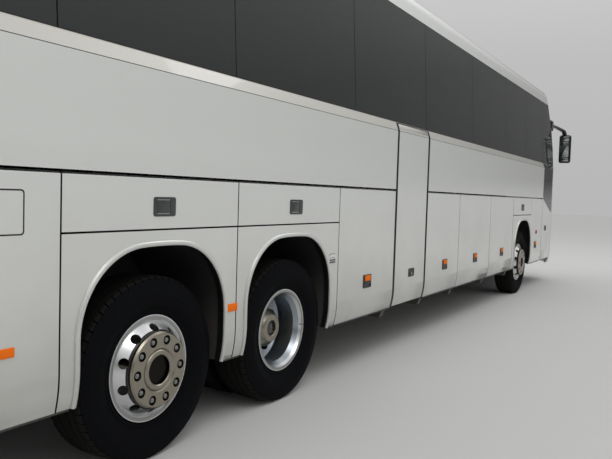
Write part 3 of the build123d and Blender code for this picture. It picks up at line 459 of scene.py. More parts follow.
class Finish(Tree):
    """One material with its Principled shader, and short ways to add grain, film and colours to it."""

    def __init__(self, name, colour, roughness, **sockets):
        self.material = bpy.data.materials.new(name)
        self.material.use_nodes = True
        super().__init__(self.material.node_tree)
        self.shader = self.nodes["Principled BSDF"]
        self.shader.inputs["Base Color"].default_value = (*colour[:3], 1)
        self.shader.inputs["Roughness"].default_value = roughness
        for socket, value in sockets.items():
            self.shader.inputs[socket.replace("_", " ")].default_value = value
        self.colour = self.shader.inputs["Base Color"]
        self.source = None

    def group(self, name, **values):
        made = self.node("ShaderNodeGroup", node_tree=bpy.data.node_groups[name])
        for key, value in values.items():
            made.inputs[key].default_value = value
        return made

    def tint(self, mask, colour):
        """Blends the colour so far towards another by a mask."""
        mix = self.node("ShaderNodeMix", data_type="RGBA")
        self.links.new(mask, mix.inputs["Factor"])
        if self.source:
            self.links.new(self.source, mix.inputs["A"])
        else:
            mix.inputs["A"].default_value = self.colour.default_value
        mix.inputs["B"].default_value = colour
        self.source = mix.outputs["Result"]
        self.links.new(self.source, self.colour)
        return self

    def grain(self, scale, spread=0.1, depth=0.0002, strength=0.2):
        """Uneven roughness and a fine bump."""
        grain = self.group(
            "Fine grain", Scale=scale, Roughness=self.shader.inputs["Roughness"].default_value, Spread=spread
        )
        self.links.new(grain.outputs["Roughness"], self.shader.inputs["Roughness"])
        self.bump(grain.outputs["Height"], depth, strength)
        return self

    def bump(self, height, depth, strength=0.3):
        bump = self.node("ShaderNodeBump")
        bump.inputs["Distance"].default_value = depth
        bump.inputs["Strength"].default_value = strength
        self.links.new(height, bump.inputs["Height"])
        self.links.new(bump.outputs[0], self.shader.inputs["Normal"])
        return self

    def film(self, low, high, amount):
        """Road film that fades out with height; on the paint it is partly painted shade."""
        film = self.group("Road film and low shade", Low=low, High=high, Amount=amount)
        return self.tint(film.outputs["Mask"], DUST_AND_SHADE)

    def step(self, value, level, above=True):
        """1 where the value is above the level, or below it."""
        return self.math("GREATER_THAN" if above else "LESS_THAN", value, level)

    def band(self, value, low, high):
        """1 where the value lies between two levels."""
        return self.both(self.step(value, low), self.step(value, high, False))

    def both(self, first, second):
        """The product of two masks, or a mask made weaker by a number."""
        return self.math("MULTIPLY", first, second)

    def behind_skin(self):
        """How far a point of the skirt lies behind its outer skin."""
        drop = self.math("MAXIMUM", self.math("SUBTRACT", TUCK_Z, self.axis("Z")), 0.0)
        arc = self.math("SQRT", self.math("SUBTRACT", TUCK_RADIUS**2, self.math("MULTIPLY", drop, drop)))
        skin = self.math("ADD", arc, HALF_WIDTH - TUCK_RADIUS)
        return self.math("SUBTRACT", skin, self.math("ABSOLUTE", self.axis("Y")))

    def radius(self, centre):
        """Distance from the axis of a wheel with this centre."""
        moved = self.texture("ShaderNodeMapping", Location=(-centre.x, 0, -centre.z), Scale=(1, 0, 1))
        length = self.node("ShaderNodeVectorMath", operation="LENGTH")
        self.links.new(moved.outputs[0], length.inputs[0])
        return length.outputs["Value"]


def make_glass(name, tint, see_through):
    """Bonded glass: a tint that swallows some of the light, with a roughness that wavers a little."""
    roughness = 0.02
    finish = Finish(name, tint, roughness, IOR=1.5, Transmission_Weight=see_through)
    grain = finish.group("Fine grain", Scale=1.2, Roughness=roughness, Spread=0.02)
    finish.links.new(grain.outputs["Roughness"], finish.shader.inputs["Roughness"])
    return finish


def pearl(name):
    """Pearl paint under a clear coat, before its grain and road film."""
    return Finish(name, colours().paint, 0.3, Metallic=0.3, Coat_Weight=1.0, Coat_Roughness=0.03)


def grained_with_film_and_shade(finish):
    """Adds the paint's fine grain and a film that darkens it towards the bottom: partly road film, partly
    painted shade.
    """
    return finish.grain(420, 0.12, 0.00006).film(0.3, 1.75, 1.2)


def make_paints():
    """The body's paint; the skirt's with painted shade on its arch returns and in its gaps; the side's with its
    shoulder line and dark band; each with grain, and with road film that is partly painted shade low down.
    """
    grained_with_film_and_shade(pearl("Paint"))
    skirt = grained_with_film_and_shade(pearl("Skirt paint"))
    # Painted shade: faces more than 1.5 mm behind the skin, the arch returns and the walls of the gaps between
    # panels, are tinted near black.
    skirt.tint(skirt.step(skirt.behind_skin(), 0.0015), TRIM_AND_SHADE_BLACK)
    side = pearl("Side paint")
    z = side.axis("Z")
    side.tint(side.step(z, SHOULDER_Z), (0.64, 0.625, 0.575, 1))
    side.tint(side.band(z, SHOULDER_Z - 0.004, SHOULDER_Z), (0.05, 0.05, 0.05, 1))
    side.tint(side.step(z, SILL_Z + 0.004), GLOSS_BLACK)
    grained_with_film_and_shade(side)


def make_finishes():
    """Every finish of the coach."""
    tones = colours()
    group_grain()
    group_film()
    make_paints()
    Finish("Black trim", TRIM_AND_SHADE_BLACK, 0.42, Coat_Weight=0.2).grain(*TRIM_GRAIN)
    Finish("Latch grey", (0.043, 0.049, 0.049), 0.4, Coat_Weight=0.2).grain(*TRIM_GRAIN)
    # Near black and dull: painted shade, used on the washers over the floors of the nut pockets
    Finish("Painted shade black", (0.001, 0.001, 0.001), 0.9, Specular_IOR_Level=0.05).grain(90, 0.05, 0.0001)
    Finish("Gloss black", GLOSS_BLACK, 0.12, Coat_Weight=0.6).grain(90, 0.05, 0.00005)
    Finish("Rubber", tones.rubber, 0.72).grain(180, 0.2, 0.0002).film(0.4, 0.9, 0.5)
    make_glass("Tinted glass", (0.078, 0.083, 0.083), 0.6)
    screen = make_glass("Windscreen glass", (0.5, 0.54, 0.53), 0.95)
    z = screen.axis("Z")
    screen.tint(screen.step(z, SCREEN_BANDS[1]), GLOSS_BLACK)
    screen.tint(screen.step(z, SCREEN_BANDS[0], False), GLOSS_BLACK)
    Finish("Amber lens", tones.amber, 0.6, Specular_IOR_Level=0.02).grain(*LENS_GRAIN)
    Finish("Red lens", (0.30, 0.006, 0.005), 0.4, Specular_IOR_Level=0.15).grain(*LENS_GRAIN)
    Finish("Chrome", (0.9, 0.9, 0.9), 0.08, Metallic=1.0).grain(120, 0.06, 0.00003)
    Finish("Mirror glass", (0.38, 0.41, 0.40), 0.02, Metallic=1.0).grain(4, 0.01, 0.0002)
    Finish("Chassis paint", (0.018, 0.018, 0.019), 0.55).grain(70, 0.25, 0.0004).film(0.2, 1.0, 0.7)
    Finish("Cast metal", (0.09, 0.09, 0.095), 0.5, Metallic=0.7).grain(40, 0.25, 0.001).film(0.3, 1.2, 0.5)
    Finish("Floor sheet", (0.10, 0.105, 0.115), 0.6).grain(300, 0.2, 0.0002)
    Finish("Inner trim", (0.42, 0.42, 0.41), 0.65).grain(200, 0.15, 0.0003)
    Finish("Dark trim", (0.035, 0.036, 0.04), 0.6).grain(320, 0.2, 0.0004)
    make_tyre_finish()
    make_wheel_finishes()
    make_cloth()
    make_lamps()
    make_mesh()


# Radii on a rim
SINGLE_HUB, TWIN_HUB = 0.2125, 0.1425
HUB_GROOVE = 0.2205
HUB_BORE = 0.0815
DISC = 0.262
FLANGE = (0.274, 0.2925)


def make_tyre_finish():
    """Tyre rubber with a browner, duller tread and a faintly dusty sidewall."""
    for axle in ("front", "drive", "tag"):
        finish = Finish(f"Tyre rubber {axle}", colours().rubber, 0.75, Specular_IOR_Level=0.07)
        radius = finish.radius(wheel_centre(axle, "right"))
        tread = finish.step(radius, TYRE_RADIUS - 0.012)
        finish.tint(tread, (0.013, 0.0125, 0.0115, 1))
        dust = finish.texture("ShaderNodeTexNoise", Scale=14, Detail=8)
        finish.tint(finish.both(dust.outputs["Fac"], 0.005), DUST_AND_SHADE)
        finish.grain(220, 0.2, 0.0003, 0.4)


def make_wheel_finishes():
    """Polished rims with turning marks and a champagne hub, with painted shade on the flange's drop, in the
    drive wheels' deep disc, in the single wheels' groove round the hub and in their open bore.
    """
    for axle, hub_radius in (("front", SINGLE_HUB), ("tag", SINGLE_HUB), ("drive", TWIN_HUB)):
        finish = Finish(f"Wheel metal {axle}", colours().metal, 0.30, Metallic=1.0, Anisotropic=0.3)
        radius = finish.radius(wheel_centre(axle, "right"))
        # Painted shade: a darker band on the flange where it drops into the rim.
        finish.tint(finish.band(radius, *FLANGE), (0.38, 0.38, 0.37, 1))
        finish.tint(finish.step(radius, hub_radius, False), (*colours().hub, 1))
        if axle == "drive":
            # Painted shade: the deep disc of the twin wheels is darkened to a cool blue-grey.
            finish.tint(finish.band(radius, hub_radius, DISC), (0.38, 0.42, 0.46, 1))
        else:
            # Painted shade: the groove round the hub is near black, and the open bore in the middle is black.
            finish.tint(finish.band(radius, hub_radius, HUB_GROOVE), (0.03, 0.031, 0.033, 1))
            finish.tint(finish.step(radius, HUB_BORE, False), (0.002, 0.002, 0.002, 1))
        marks = finish.node("ShaderNodeTexNoise", noise_dimensions="1D")
        marks.inputs["Scale"].default_value = 900
        finish.links.new(radius, marks.inputs["W"])
        finish.bump(marks.outputs["Fac"], 0.0002, 0.12)
        finish.film(0.0, 1.1, 0.25)
    Finish("Nut metal", (0.28, 0.29, 0.28), 0.42, Metallic=0.85).grain(300, 0.2, 0.0002)


def make_cloth():
    """Woven moquette: two crossed waves of thread under a spotted pattern, in two colours."""
    for name, colour in (("Woven cloth", colours().cloth), ("Bolster cloth", (0.018, 0.022, 0.035))):
        finish = Finish(name, colour, 0.85, Sheen_Weight=0.5, Sheen_Roughness=0.4)
        threads = []
        for direction in ("X", "Z"):
            crossing = {"bands_direction": direction}
            wave = finish.texture("ShaderNodeTexWave", crossing, Scale=160, Distortion=0.6)
            threads.append(wave.outputs["Fac"])
        spots = finish.texture("ShaderNodeTexVoronoi", Scale=22)
        finish.tint(finish.step(spots.outputs["Distance"], 0.22, False), (0.16, 0.19, 0.27, 1))
        finish.bump(finish.both(*threads), 0.0006, 0.5)


def make_lamps():
    """Lamp units: a dark cover and fluted lenses at the front, stacked fields under one lens behind."""
    Finish("Headlamp", (0.02, 0.021, 0.024), 0.1, Coat_Weight=1.0).grain(60, 0.05, 0.0001)
    lens = Finish("Lamp lens", (0.8, 0.82, 0.84), 0.06, Coat_Weight=1.0, Metallic=0.6)
    flutes = lens.texture("ShaderNodeTexWave", {"bands_direction": "Y"}, Scale=60)
    lens.bump(flutes.outputs["Fac"], 0.001, 0.4)
    tail = Finish("Tail lamp", (0.32, 0.006, 0.005), 0.14, Coat_Weight=1.0)
    z = tail.axis("Z")
    low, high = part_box("tail_lamps")
    third = (high.z - low.z) / 3
    tail.tint(tail.step(z, high.z - third), (0.9, 0.2, 0.01, 1))
    tail.tint(tail.band(z, low.z + 0.12, low.z + 0.22), (0.7, 0.7, 0.68, 1))
    tail.grain(900, 0.08, 0.0006, 0.6)


def make_mesh():
    """Expanded-metal mesh of intakes and fans: a fine net whose holes are painted near black as painted shade.
    """
    finish = Finish("Dark mesh", (0.03, 0.03, 0.032), 0.5, Metallic=0.4)
    edges = {"feature": "DISTANCE_TO_EDGE"}
    cells = finish.texture("ShaderNodeTexVoronoi", edges, Scale=130, Randomness=0.0)
    # Painted shade: the holes are near black instead of open.
    finish.tint(finish.step(cells.outputs["Distance"], 0.18), (0.002, 0.002, 0.002, 1))
    finish.bump(cells.outputs["Distance"], 0.001, 0.6)


# CAD nodes: the flaps, the panels that get rounded edges, and all that stay, by their finish
FLAPS = [f"flap_{word}_{number}" for word in SIDES for number in range(1, 5)]
ROUNDED_PANELS = [
    "front_panel", "rear_panel", "engine_door", "front_door", "mid_door", "skirt_panels_left",
    "skirt_panels_right", *FLAPS,
]
NODE_FINISHES = {
    "Chassis paint": [
        "underframe", "wheel_boxes", "front_door_arms", "mid_door_arms", "front_axle", "drive_axle",
        "tag_axle", "knuckle_left", "knuckle_right",
    ],
    "Floor sheet": ["cabin_floor"],
    "Paint": ["roof", "roof_pod", "front_panel", "rear_panel", "engine_door"],
    "Side paint": ["side_wall_right", "side_wall_left", "front_door", "mid_door"],
    "Skirt paint": ["skirt_panels_right", "skirt_panels_left"],
    "Gloss black": ["windscreen_frame", "mirrors"],
    "Windscreen glass": ["windscreen"],
    "Tinted glass": ["side_glass", "rear_glass", "front_door_glass"],
    "Headlamp": ["headlamps"],
    "Tail lamp": ["tail_lamps"],
    "Black trim": ["wipers"],
    "Cast metal": ["engine"],
    "Dark trim": ["steering_wheel", "dashboard"],
    "Inner trim": ["parcel_racks"],
}


def dress_nodes():
    """Gives every CAD node that stays its finish; flaps and rims come by loops."""
    finishes = {node: finish for finish, nodes in NODE_FINISHES.items() for node in nodes}
    finishes.update({flap: "Skirt paint" for flap in FLAPS})
    for word in SIDES:
        for axle in ("front", "tag"):
            finishes[f"{axle}_rim_{word}"] = f"Wheel metal {axle}"
        finishes[f"drive_rims_{word}"] = "Wheel metal drive"
    for name, finish in finishes.items():
        coat(NODES[name], finish)


# Base of the steps: each one builds its pieces and says that it is done
class Step:
    """A step of the dressing, shown as one button of the panel."""

    bl_options = {"REGISTER", "UNDO"}

    def execute(self, context):
        self.build()
        return {"FINISHED"}


class COACH_OT_finishes(Step, bpy.types.Operator):
    """Make every finish and give each CAD node its own"""

    bl_idname = "coach.finishes"
    bl_label = "Finishes"

    def build(self):
        make_finishes()
        dress_nodes()
        for name in ROUNDED_PANELS:
            round_edges(NODES[name])


def round_edges(node):
    """A live bevel on a panel's sharp edges; its mesh stays as it was packed."""
    weld = node.modifiers.new("Weld", "WELD")
    weld.merge_threshold = 0.00002
    bevel = node.modifiers.new("Bevel", "BEVEL")
    bevel.width = 0.003
    bevel.segments = 2
    bevel.limit_method = "ANGLE"
    bevel.angle_limit = math.radians(40)
    bevel.harden_normals = True


# Wheels
SPINS = {"front": "front_wheel", "drive": "drive_wheel", "tag": "tag_wheel"}
TWIN_SPACING = 0.336  # between the middles of twin tyres
SIDEWALL = [
    (0.284, 0.098), (0.300, 0.108), (0.318, 0.119), (0.326, 0.121), (0.330, 0.1185), (0.345, 0.1285),
    (0.372, 0.1415), (0.392, 0.147), (0.400, 0.148), (0.402, 0.1465), (0.408, 0.1465), (0.410, 0.148),
    (0.430, 0.1475), (0.452, 0.1445), (0.470, 0.138), (0.486, 0.1345), (0.500, 0.1305), (0.508, 0.1235),
    (0.5135, 0.112), (0.5148, 0.100),
]
GROOVE_PLACES = (0.085, 0.033)
CROWN_DROP = 0.002
SIPES = 60


def tread_radius(y):
    """The crowned tread's radius at a distance from the wheel's middle plane."""
    return TYRE_RADIUS - CROWN_DROP * (y / 0.1) ** 2


def tyre_outline():
    """The tyre's section as (radius, Y) pairs, from one bead round to the other."""
    half = list(SIDEWALL)
    deep, wide = sizes().groove_depth, sizes().groove_width
    for y in GROOVE_PLACES:
        far, near = y + wide / 2, y - wide / 2
        half += [
            (tread_radius(far), far), (tread_radius(y) - deep, far - 0.0015),
            (tread_radius(y) - deep, near + 0.0015), (tread_radius(near), near),
        ]
    other = [(radius, -y) for radius, y in reversed(half)]
    return [*half, *other, half[0]]


def make_tyre():
    """One tyre at the origin, with grooves round it and sipes across its shoulders."""
    tyre = lathe("tyre", tyre_outline(), (0, 0, 0), 96)
    sipe = block("sipe", (-0.0035, 0.1, TYRE_RADIUS - 0.022), (0.0035, 0.15, TYRE_RADIUS + 0.01))
    sipe.data.transform(Matrix.Rotation(math.radians(14), 4, "Z"))
    sipes = []
    for step in range(SIPES):
        turn = Matrix.Rotation(math.tau * step / SIPES, 4, "Y")
        sipes += [copy_of(sipe, "sipe_copy", turn), copy_of(sipe, "sipe_copy", MIRROR_Y @ turn)]
    bpy.data.objects.remove(sipe)
    return shade(cut(tyre, joined("sipes", sipes)), 32)


class COACH_OT_tyres(Step, bpy.types.Operator):
    """Model one tyre with its tread and place it on every wheel"""

    bl_idname = "coach.tyres"
    bl_label = "Tyres"

    def build(self):
        tyre = make_tyre()
        for word, side in SIDES.items():
            for axle, body in SPINS.items():
                centre = wheel_centre(axle, word)
                name = f"road_tyre_{axle}_{word}"
                piece = copy_of(tyre, name, Matrix.Translation(centre))
                if axle == "drive":
                    inner = Matrix.Translation(centre - Vector((0, side * TWIN_SPACING, 0)))
                    piece = joined(name, [piece, copy_of(tyre, name, inner)])
                fitted(piece, f"{body}_{word}", f"Tyre rubber {axle}")
                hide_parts(tyre_node(axle, word))
        bpy.data.objects.remove(tyre)


# How far out the nuts sit from a wheel's middle. The drive hub's cap: its seat, radius and height
NUT_SEATS = {"front": 0.168, "tag": 0.168, "drive": -0.154}
CAP_SEAT, CAP_RADIUS, CAP_HEIGHT = 0.002, 0.054, 0.010
NUT_COUNT = 10
# Radii of the washers, which cover the pockets' floors with painted shade
WASHER_SHADE_RADII = {"front": 0.0265, "tag": 0.0265, "drive": 0.022}
# The valve: its foot's and its tip's distance from the axis, its length and radius
VALVE_FOOT, VALVE_TIP, VALVE_LENGTH, VALVE_RADIUS = 0.222, 0.226, 0.034, 0.0045
TO_POCKET = Matrix.Rotation(math.pi / 2, 4, "Y")  # from the top of the circle to its first pocket


def wheel_nut(seat):
    """One nut with its stud, at the top of the bolt circle of a wheel at the origin."""
    radius, across = sizes().bolt_circle / 2, sizes().nut_width
    start = Vector((0, seat, radius))
    nut = tube("nut", start + Vector((0, 0.002, 0)), start + Vector((0, 0.020, 0)), across / math.sqrt(3), 6)
    soften(nut, 0.0025, 3)
    stud = soften(tube("stud", start, start + Vector((0, 0.0235, 0)), across * 0.3, 12), 0.0012, 1)
    return joined("nut", [nut, stud])


def washer_with_pocket_shade(seat, radius):
    """The washer under a nut, near black and as wide as the floor of its pocket, so that it lays painted shade
    over that floor.
    """
    start = Vector((0, seat - 0.0005, sizes().bolt_circle / 2))
    return soften(tube("washer_shade", start, start + Vector((0, 0.003, 0)), radius, 24), 0.0008, 1)


def ring_of(piece, name, count):
    """Copies of a piece round the Y axis as one mesh; the piece itself goes."""
    turns = [Matrix.Rotation(math.tau * step / count, 4, "Y") for step in range(count)]
    ring = joined(name, [copy_of(piece, name, turn) for turn in turns])
    bpy.data.objects.remove(piece)
    return ring


def hub_cap(seat, radius, height):
    """A domed cap with a stepped edge."""
    outline = [
        (0.0, seat + height), (radius * 0.35, seat + height), (radius * 0.7, seat + height * 0.86),
        (radius * 0.84, seat + height * 0.6), (radius * 0.86, seat + height * 0.5),
        (radius * 0.97, seat + height * 0.5), (radius, seat + height * 0.35), (radius, seat), (0.0, seat),
    ]
    return shade(lathe("cap", outline, (0, 0, 0), 48), 25)


class COACH_OT_wheel_fittings(Step, bpy.types.Operator):
    """Add the wheel nuts with their studs and washers, the washers near black as painted shade over the
    pockets' floors, the valves and the drive hubs' caps
    """

    bl_idname = "coach.wheel_fittings"
    bl_label = "Wheel nuts and caps"

    def build(self):
        for axle, seat in NUT_SEATS.items():
            nut = wheel_nut(seat)
            nut.data.transform(TO_POCKET)
            nuts = ring_of(nut, "nuts", NUT_COUNT)
            foot = Vector((VALVE_FOOT, abs(seat) - 0.03, 0.01))
            tip = Vector((VALVE_TIP, foot.y + VALVE_LENGTH, foot.z))
            valve = tube("valve", foot, tip, VALVE_RADIUS, 12)
            nuts = joined("nuts", [nuts, soften(valve, 0.001, 2)])
            washer_shade = washer_with_pocket_shade(seat, WASHER_SHADE_RADII[axle])
            washer_shade.data.transform(TO_POCKET)
            washer_shades = ring_of(washer_shade, "washer_shades", NUT_COUNT)
            kinds = [
                ("wheel_nuts", nuts, "wheel_metal", "Nut metal"),
                # The washers are near black: painted shade over the floors of the nut pockets
                ("nut_washers", washer_shades, "black_trim", "Painted shade black"),
            ]
            if axle == "drive":
                kinds.append(("hub_cap", self.cap(), "black_trim", "Gloss black"))
            for word, side in SIDES.items():
                place = Matrix.Translation(wheel_centre(axle, word)) @ (MIRROR_Y if side < 0 else Matrix())
                for kind, piece, slot, finish in kinds:
                    twin = copy_of(piece, f"{kind}_{axle}_{word}", place)
                    fitted(twin, f"{SPINS[axle]}_{word}", finish)
            for _, piece, _, _ in kinds:
                bpy.data.objects.remove(piece)

    def cap(self):
        """The drive hub's domed cap with its eight bolts."""
        at_bolt, bolt_top = CAP_RADIUS * 0.91, CAP_SEAT + CAP_HEIGHT * 0.5 + 0.004
        bolt = tube("bolt", (0, CAP_SEAT, at_bolt), (0, bolt_top, at_bolt), 0.004, 6)
        bolts = ring_of(soften(bolt, 0.0006, 1), "bolts", 8)
        return joined("cap", [hub_cap(CAP_SEAT, CAP_RADIUS, CAP_HEIGHT), bolts])


# Doors, seals and skirt. Ranges are stations; the seams are the widths of the seals down a door's edges
MID_DOOR = (1.825, 2.685)
FRONT_DOOR = (8.540, 9.390)
MID_SEAM, FRONT_SEAM = 0.044, 0.012
MID_TOP_Z, FRONT_SEAL_TOP = 2.170, 2.64
FLAP_RANGES = {
    "right": [(0.695, 1.825), (2.685, 3.780), (3.780, 5.140), (5.140, 6.415)],
    "left": [(0.695, 2.125), (2.125, 3.555), (3.555, 4.985), (4.985, 6.415)],
}
HALF_GAP = 0.005


class COACH_OT_seals(Step, bpy.types.Operator):
    """Fit the rubber seals down the edges of both doors"""

    bl_idname = "coach.seals"
    bl_label = "Door seals"

    def build(self):
        low, high = SKIRT_Z + 0.004, SILL_Z - 0.01
        section = {"z0": low, "z1": high, "out": -0.001, "inner": -0.03}
        self.seal("mid_door_seal", "mid_door", MID_DOOR, (0.021, MID_SEAM), section, (0.004, 3))
        x0, x1 = at(MID_DOOR[0]) + MID_SEAM, at(MID_DOOR[1]) - MID_SEAM
        top = side_strip("mid_door_top", -1, x0, x1, MID_TOP_Z, high, 0.0015, -0.004)
        fitted(soften(top, 0.001, 2), "mid_door", "Side paint")
        self.seal("mid_doorway_seal", "coach_body", MID_DOOR, (-HALF_GAP, 0.016), section, (0.004, 3))
        section = {"z0": low, "z1": FRONT_SEAL_TOP, "out": -0.002, "inner": -0.03}
        self.seal("front_door_seal", "front_door", FRONT_DOOR, (0.003, FRONT_SEAM), section, (0.003, 2))

    def seal(self, name, body, door, reach, section, rounding):
        """Two upright strips, each from and to these distances in from an end of the door."""
        start, end = at(door[0]), at(door[1])
        strips = [
            side_strip("seal", -1, start + reach[0], start + reach[1], **section),
            side_strip("seal", -1, end - reach[1], end - reach[0], **section),
        ]
        seal = joined(name, [soften(strip, *rounding) for strip in strips])
        fitted(seal, body, "Rubber")


LIP_Z = 0.438
# Ranges of the fixed skirt on both sides, then the last one, which the front door shortens on the right
FIXED_SKIRT = [(-3.815, -1.934), (-0.766, -0.584), (0.584, 0.695), (6.415, 6.546)]
LAST_SKIRT = {"right": (7.714, 8.540), "left": (7.714, 9.390)}


class COACH_OT_skirt_lips(Step, bpy.types.Operator):
    """Hang the thin rubber lip under the skirt and the flaps"""

    bl_idname = "coach.skirt_lips"
    bl_label = "Skirt lips"

    def build(self):
        for word, side in SIDES.items():
            for number, (start, end) in enumerate(FLAP_RANGES[word], 1):
                lip = self.lip(f"flap_lip_{word}_{number}", side, start, end)
                fitted(lip, f"flap_{word}_{number}", "Rubber")
            ranges = [*FIXED_SKIRT, LAST_SKIRT[word]]
            lips = [self.lip("lip", side, start, end) for start, end in ranges]
            fitted(joined(f"skirt_lip_{word}", lips), "coach_body", "Rubber")

    def lip(self, name, side, start, end):
        x0, x1 = at(start) + HALF_GAP, at(end) - HALF_GAP
        return soften(side_strip(name, side, x0, x1, LIP_Z, SKIRT_Z + 0.002, 0.0005, -0.02), 0.0025, 2)


# Wheel arch openings: half the length, the top's level, its rise over the ends and the shoulders' radius
ARCH = {"half": 0.556, "top": 1.207, "rise": 0.057, "shoulder": 0.430}
BEAD_OFFSET, BEAD_RADIUS, BEAD_SUNK = 0.014, 0.015, 0.001


def arch_path(x, side):
    """Points along the middle of the lip round a wheel arch."""
    half, top, shoulder = (ARCH[key] + BEAD_OFFSET for key in ("half", "top", "shoulder"))
    rise = ARCH["rise"]
    crown = (half**2 + rise**2) / (2 * rise)
    reach = half - shoulder
    level = top - crown + math.sqrt((crown - shoulder) ** 2 - reach**2)
    lean = math.asin(reach / (crown - shoulder))
    quarter = [(half, SKIRT_Z), (half, (SKIRT_Z + TUCK_Z) / 2), (half, TUCK_Z)]
    for step in range(13):
        angle = (math.pi / 2 - lean) * step / 12
        quarter.append((reach + shoulder * math.cos(angle), level + shoulder * math.sin(angle)))
    for share in (0.5, 0.0):
        quarter.append((crown * math.sin(lean * share), top - crown + crown * math.cos(lean * share)))
    outline = quarter + [(-along, z) for along, z in reversed(quarter[:-1])]
    return [Vector((x + along, side * (skin_y(z) - BEAD_SUNK), z)) for along, z in outline]


class COACH_OT_arch_beads(Step, bpy.types.Operator):
    """Round the lips of the wheel arches with a bead"""

    bl_idname = "coach.arch_beads"
    bl_label = "Arch beads"

    def build(self):
        for word, side in SIDES.items():
            paths = [arch_path(wheel_centre(axle, word).x, side) for axle in SPINS]
            beads = [shade(sweep("bead", path, BEAD_RADIUS, 16), 50) for path in paths]
            fitted(joined(f"arch_beads_{word}", beads), "coach_body", "Skirt paint")


# Side fittings. Stations of their middles, and levels
LATCHES = [(-1.339, 1.419), (0.025, 1.419), (7.02, 1.419)]
HANDLE_Z = (0.705, 0.822)
FRONT_PULL = 8.071  # station of the pull behind the front door
HANDLE_STATIONS = {"right": [1.251, 3.303, 4.486, 5.807], "left": [1.41, 2.84, 4.27, 5.70]}
# Plates with a cup. Columns of a plate: half length, bottom, top, how far out. A cup has its floor as well
SERVICE_LOCK = {
    "station": 0.589, "plate": (0.05, 0.970, 1.048, 0.005), "corner": 0.009,
    "cup": (0.038, 0.98, 1.038, 0.02, 0.0006),
}
FRONT_DOOR_PULL = {
    "station": 8.87, "plate": (0.075, 0.99, 1.085, 0.004), "corner": 0.015,
    "cup": (0.06, 1.003, 1.05, 0.02, 0.001),
}
MID_DOOR_RELEASE = {
    "station": 2.281, "plate": (0.072, 0.714, 0.798, 0.005), "corner": 0.012,
    "cup": (0.063, 0.722, 0.79, 0.02, 0.0006),
}
KNOB_Z, KNOB_RADIUS = 0.741, 0.021
HATCH = {
    "station": -2.5555, "outer": (0.3445, 1.293, 1.494, 0.001),
    "inner": (0.3375, 1.3, 1.487, 0.01, -0.01),
}


def side_plate(name, side, x, half, z0, z1, out, inner=-0.006):
    """A box on the flat side about x, from inner to out metres off the skin."""
    return side_block(name, side, x - half, x + half, HALF_WIDTH + inner, HALF_WIDTH + out, z0, z1)


def cupped_plate(name, station, plate, corner, cup):
    """A rounded plate on the right side with a cup let into it."""
    made = corners(side_plate(name, -1, at(station), *plate), corner)
    return cut(made, side_plate("cup", -1, at(station), *cup))


def side_latch(side, station, z):
    """A flush paddle latch: a rounded bezel with a paddle in a narrow groove."""
    x = at(station)
    bezel = corners(side_plate("latch", side, x, 0.086, z - 0.053, z + 0.053, 0.004), 0.014)
    middle = x - 0.0085
    cut(bezel, side_plate("groove", side, middle, 0.051, z - 0.0395, z + 0.0395, 0.02, -0.004))
    paddle = corners(side_plate("paddle", side, middle, 0.0475, z - 0.036, z + 0.036, 0.0035), 0.003)
    return joined("latch", [bezel, paddle])


def flap_handle(names, body, side, station):
    """A flap's pull: a dark plate with a dish and a bar across it, and a marker lamp let in above them."""
    x = at(station)
    low, high = HANDLE_Z
    split = low + (high - low) * 0.52
    plate = side_strip("handle", side, x - 0.08, x + 0.077, low, high, 0.006, -0.01)
    cut(corners(plate, 0.01), side_plate("dish", side, x, 0.064, low + 0.008, split - 0.02, 0.03, 0.0005))
    bar = side_strip("bar", side, x - 0.068, x + 0.068, split - 0.022, split - 0.008, 0.010, 0.0)
    lamp = side_strip("lamp", side, x - 0.051, x + 0.054, split, high - 0.007, 0.012, -0.005)
    pull, marker = joined("handle", [plate, soften(bar, 0.003, 3)]), soften(lamp, 0.006, 4, 60)
    pull.name, marker.name = names
    fitted(pull, body, "Black trim")
    fitted(marker, body, "Amber lens")


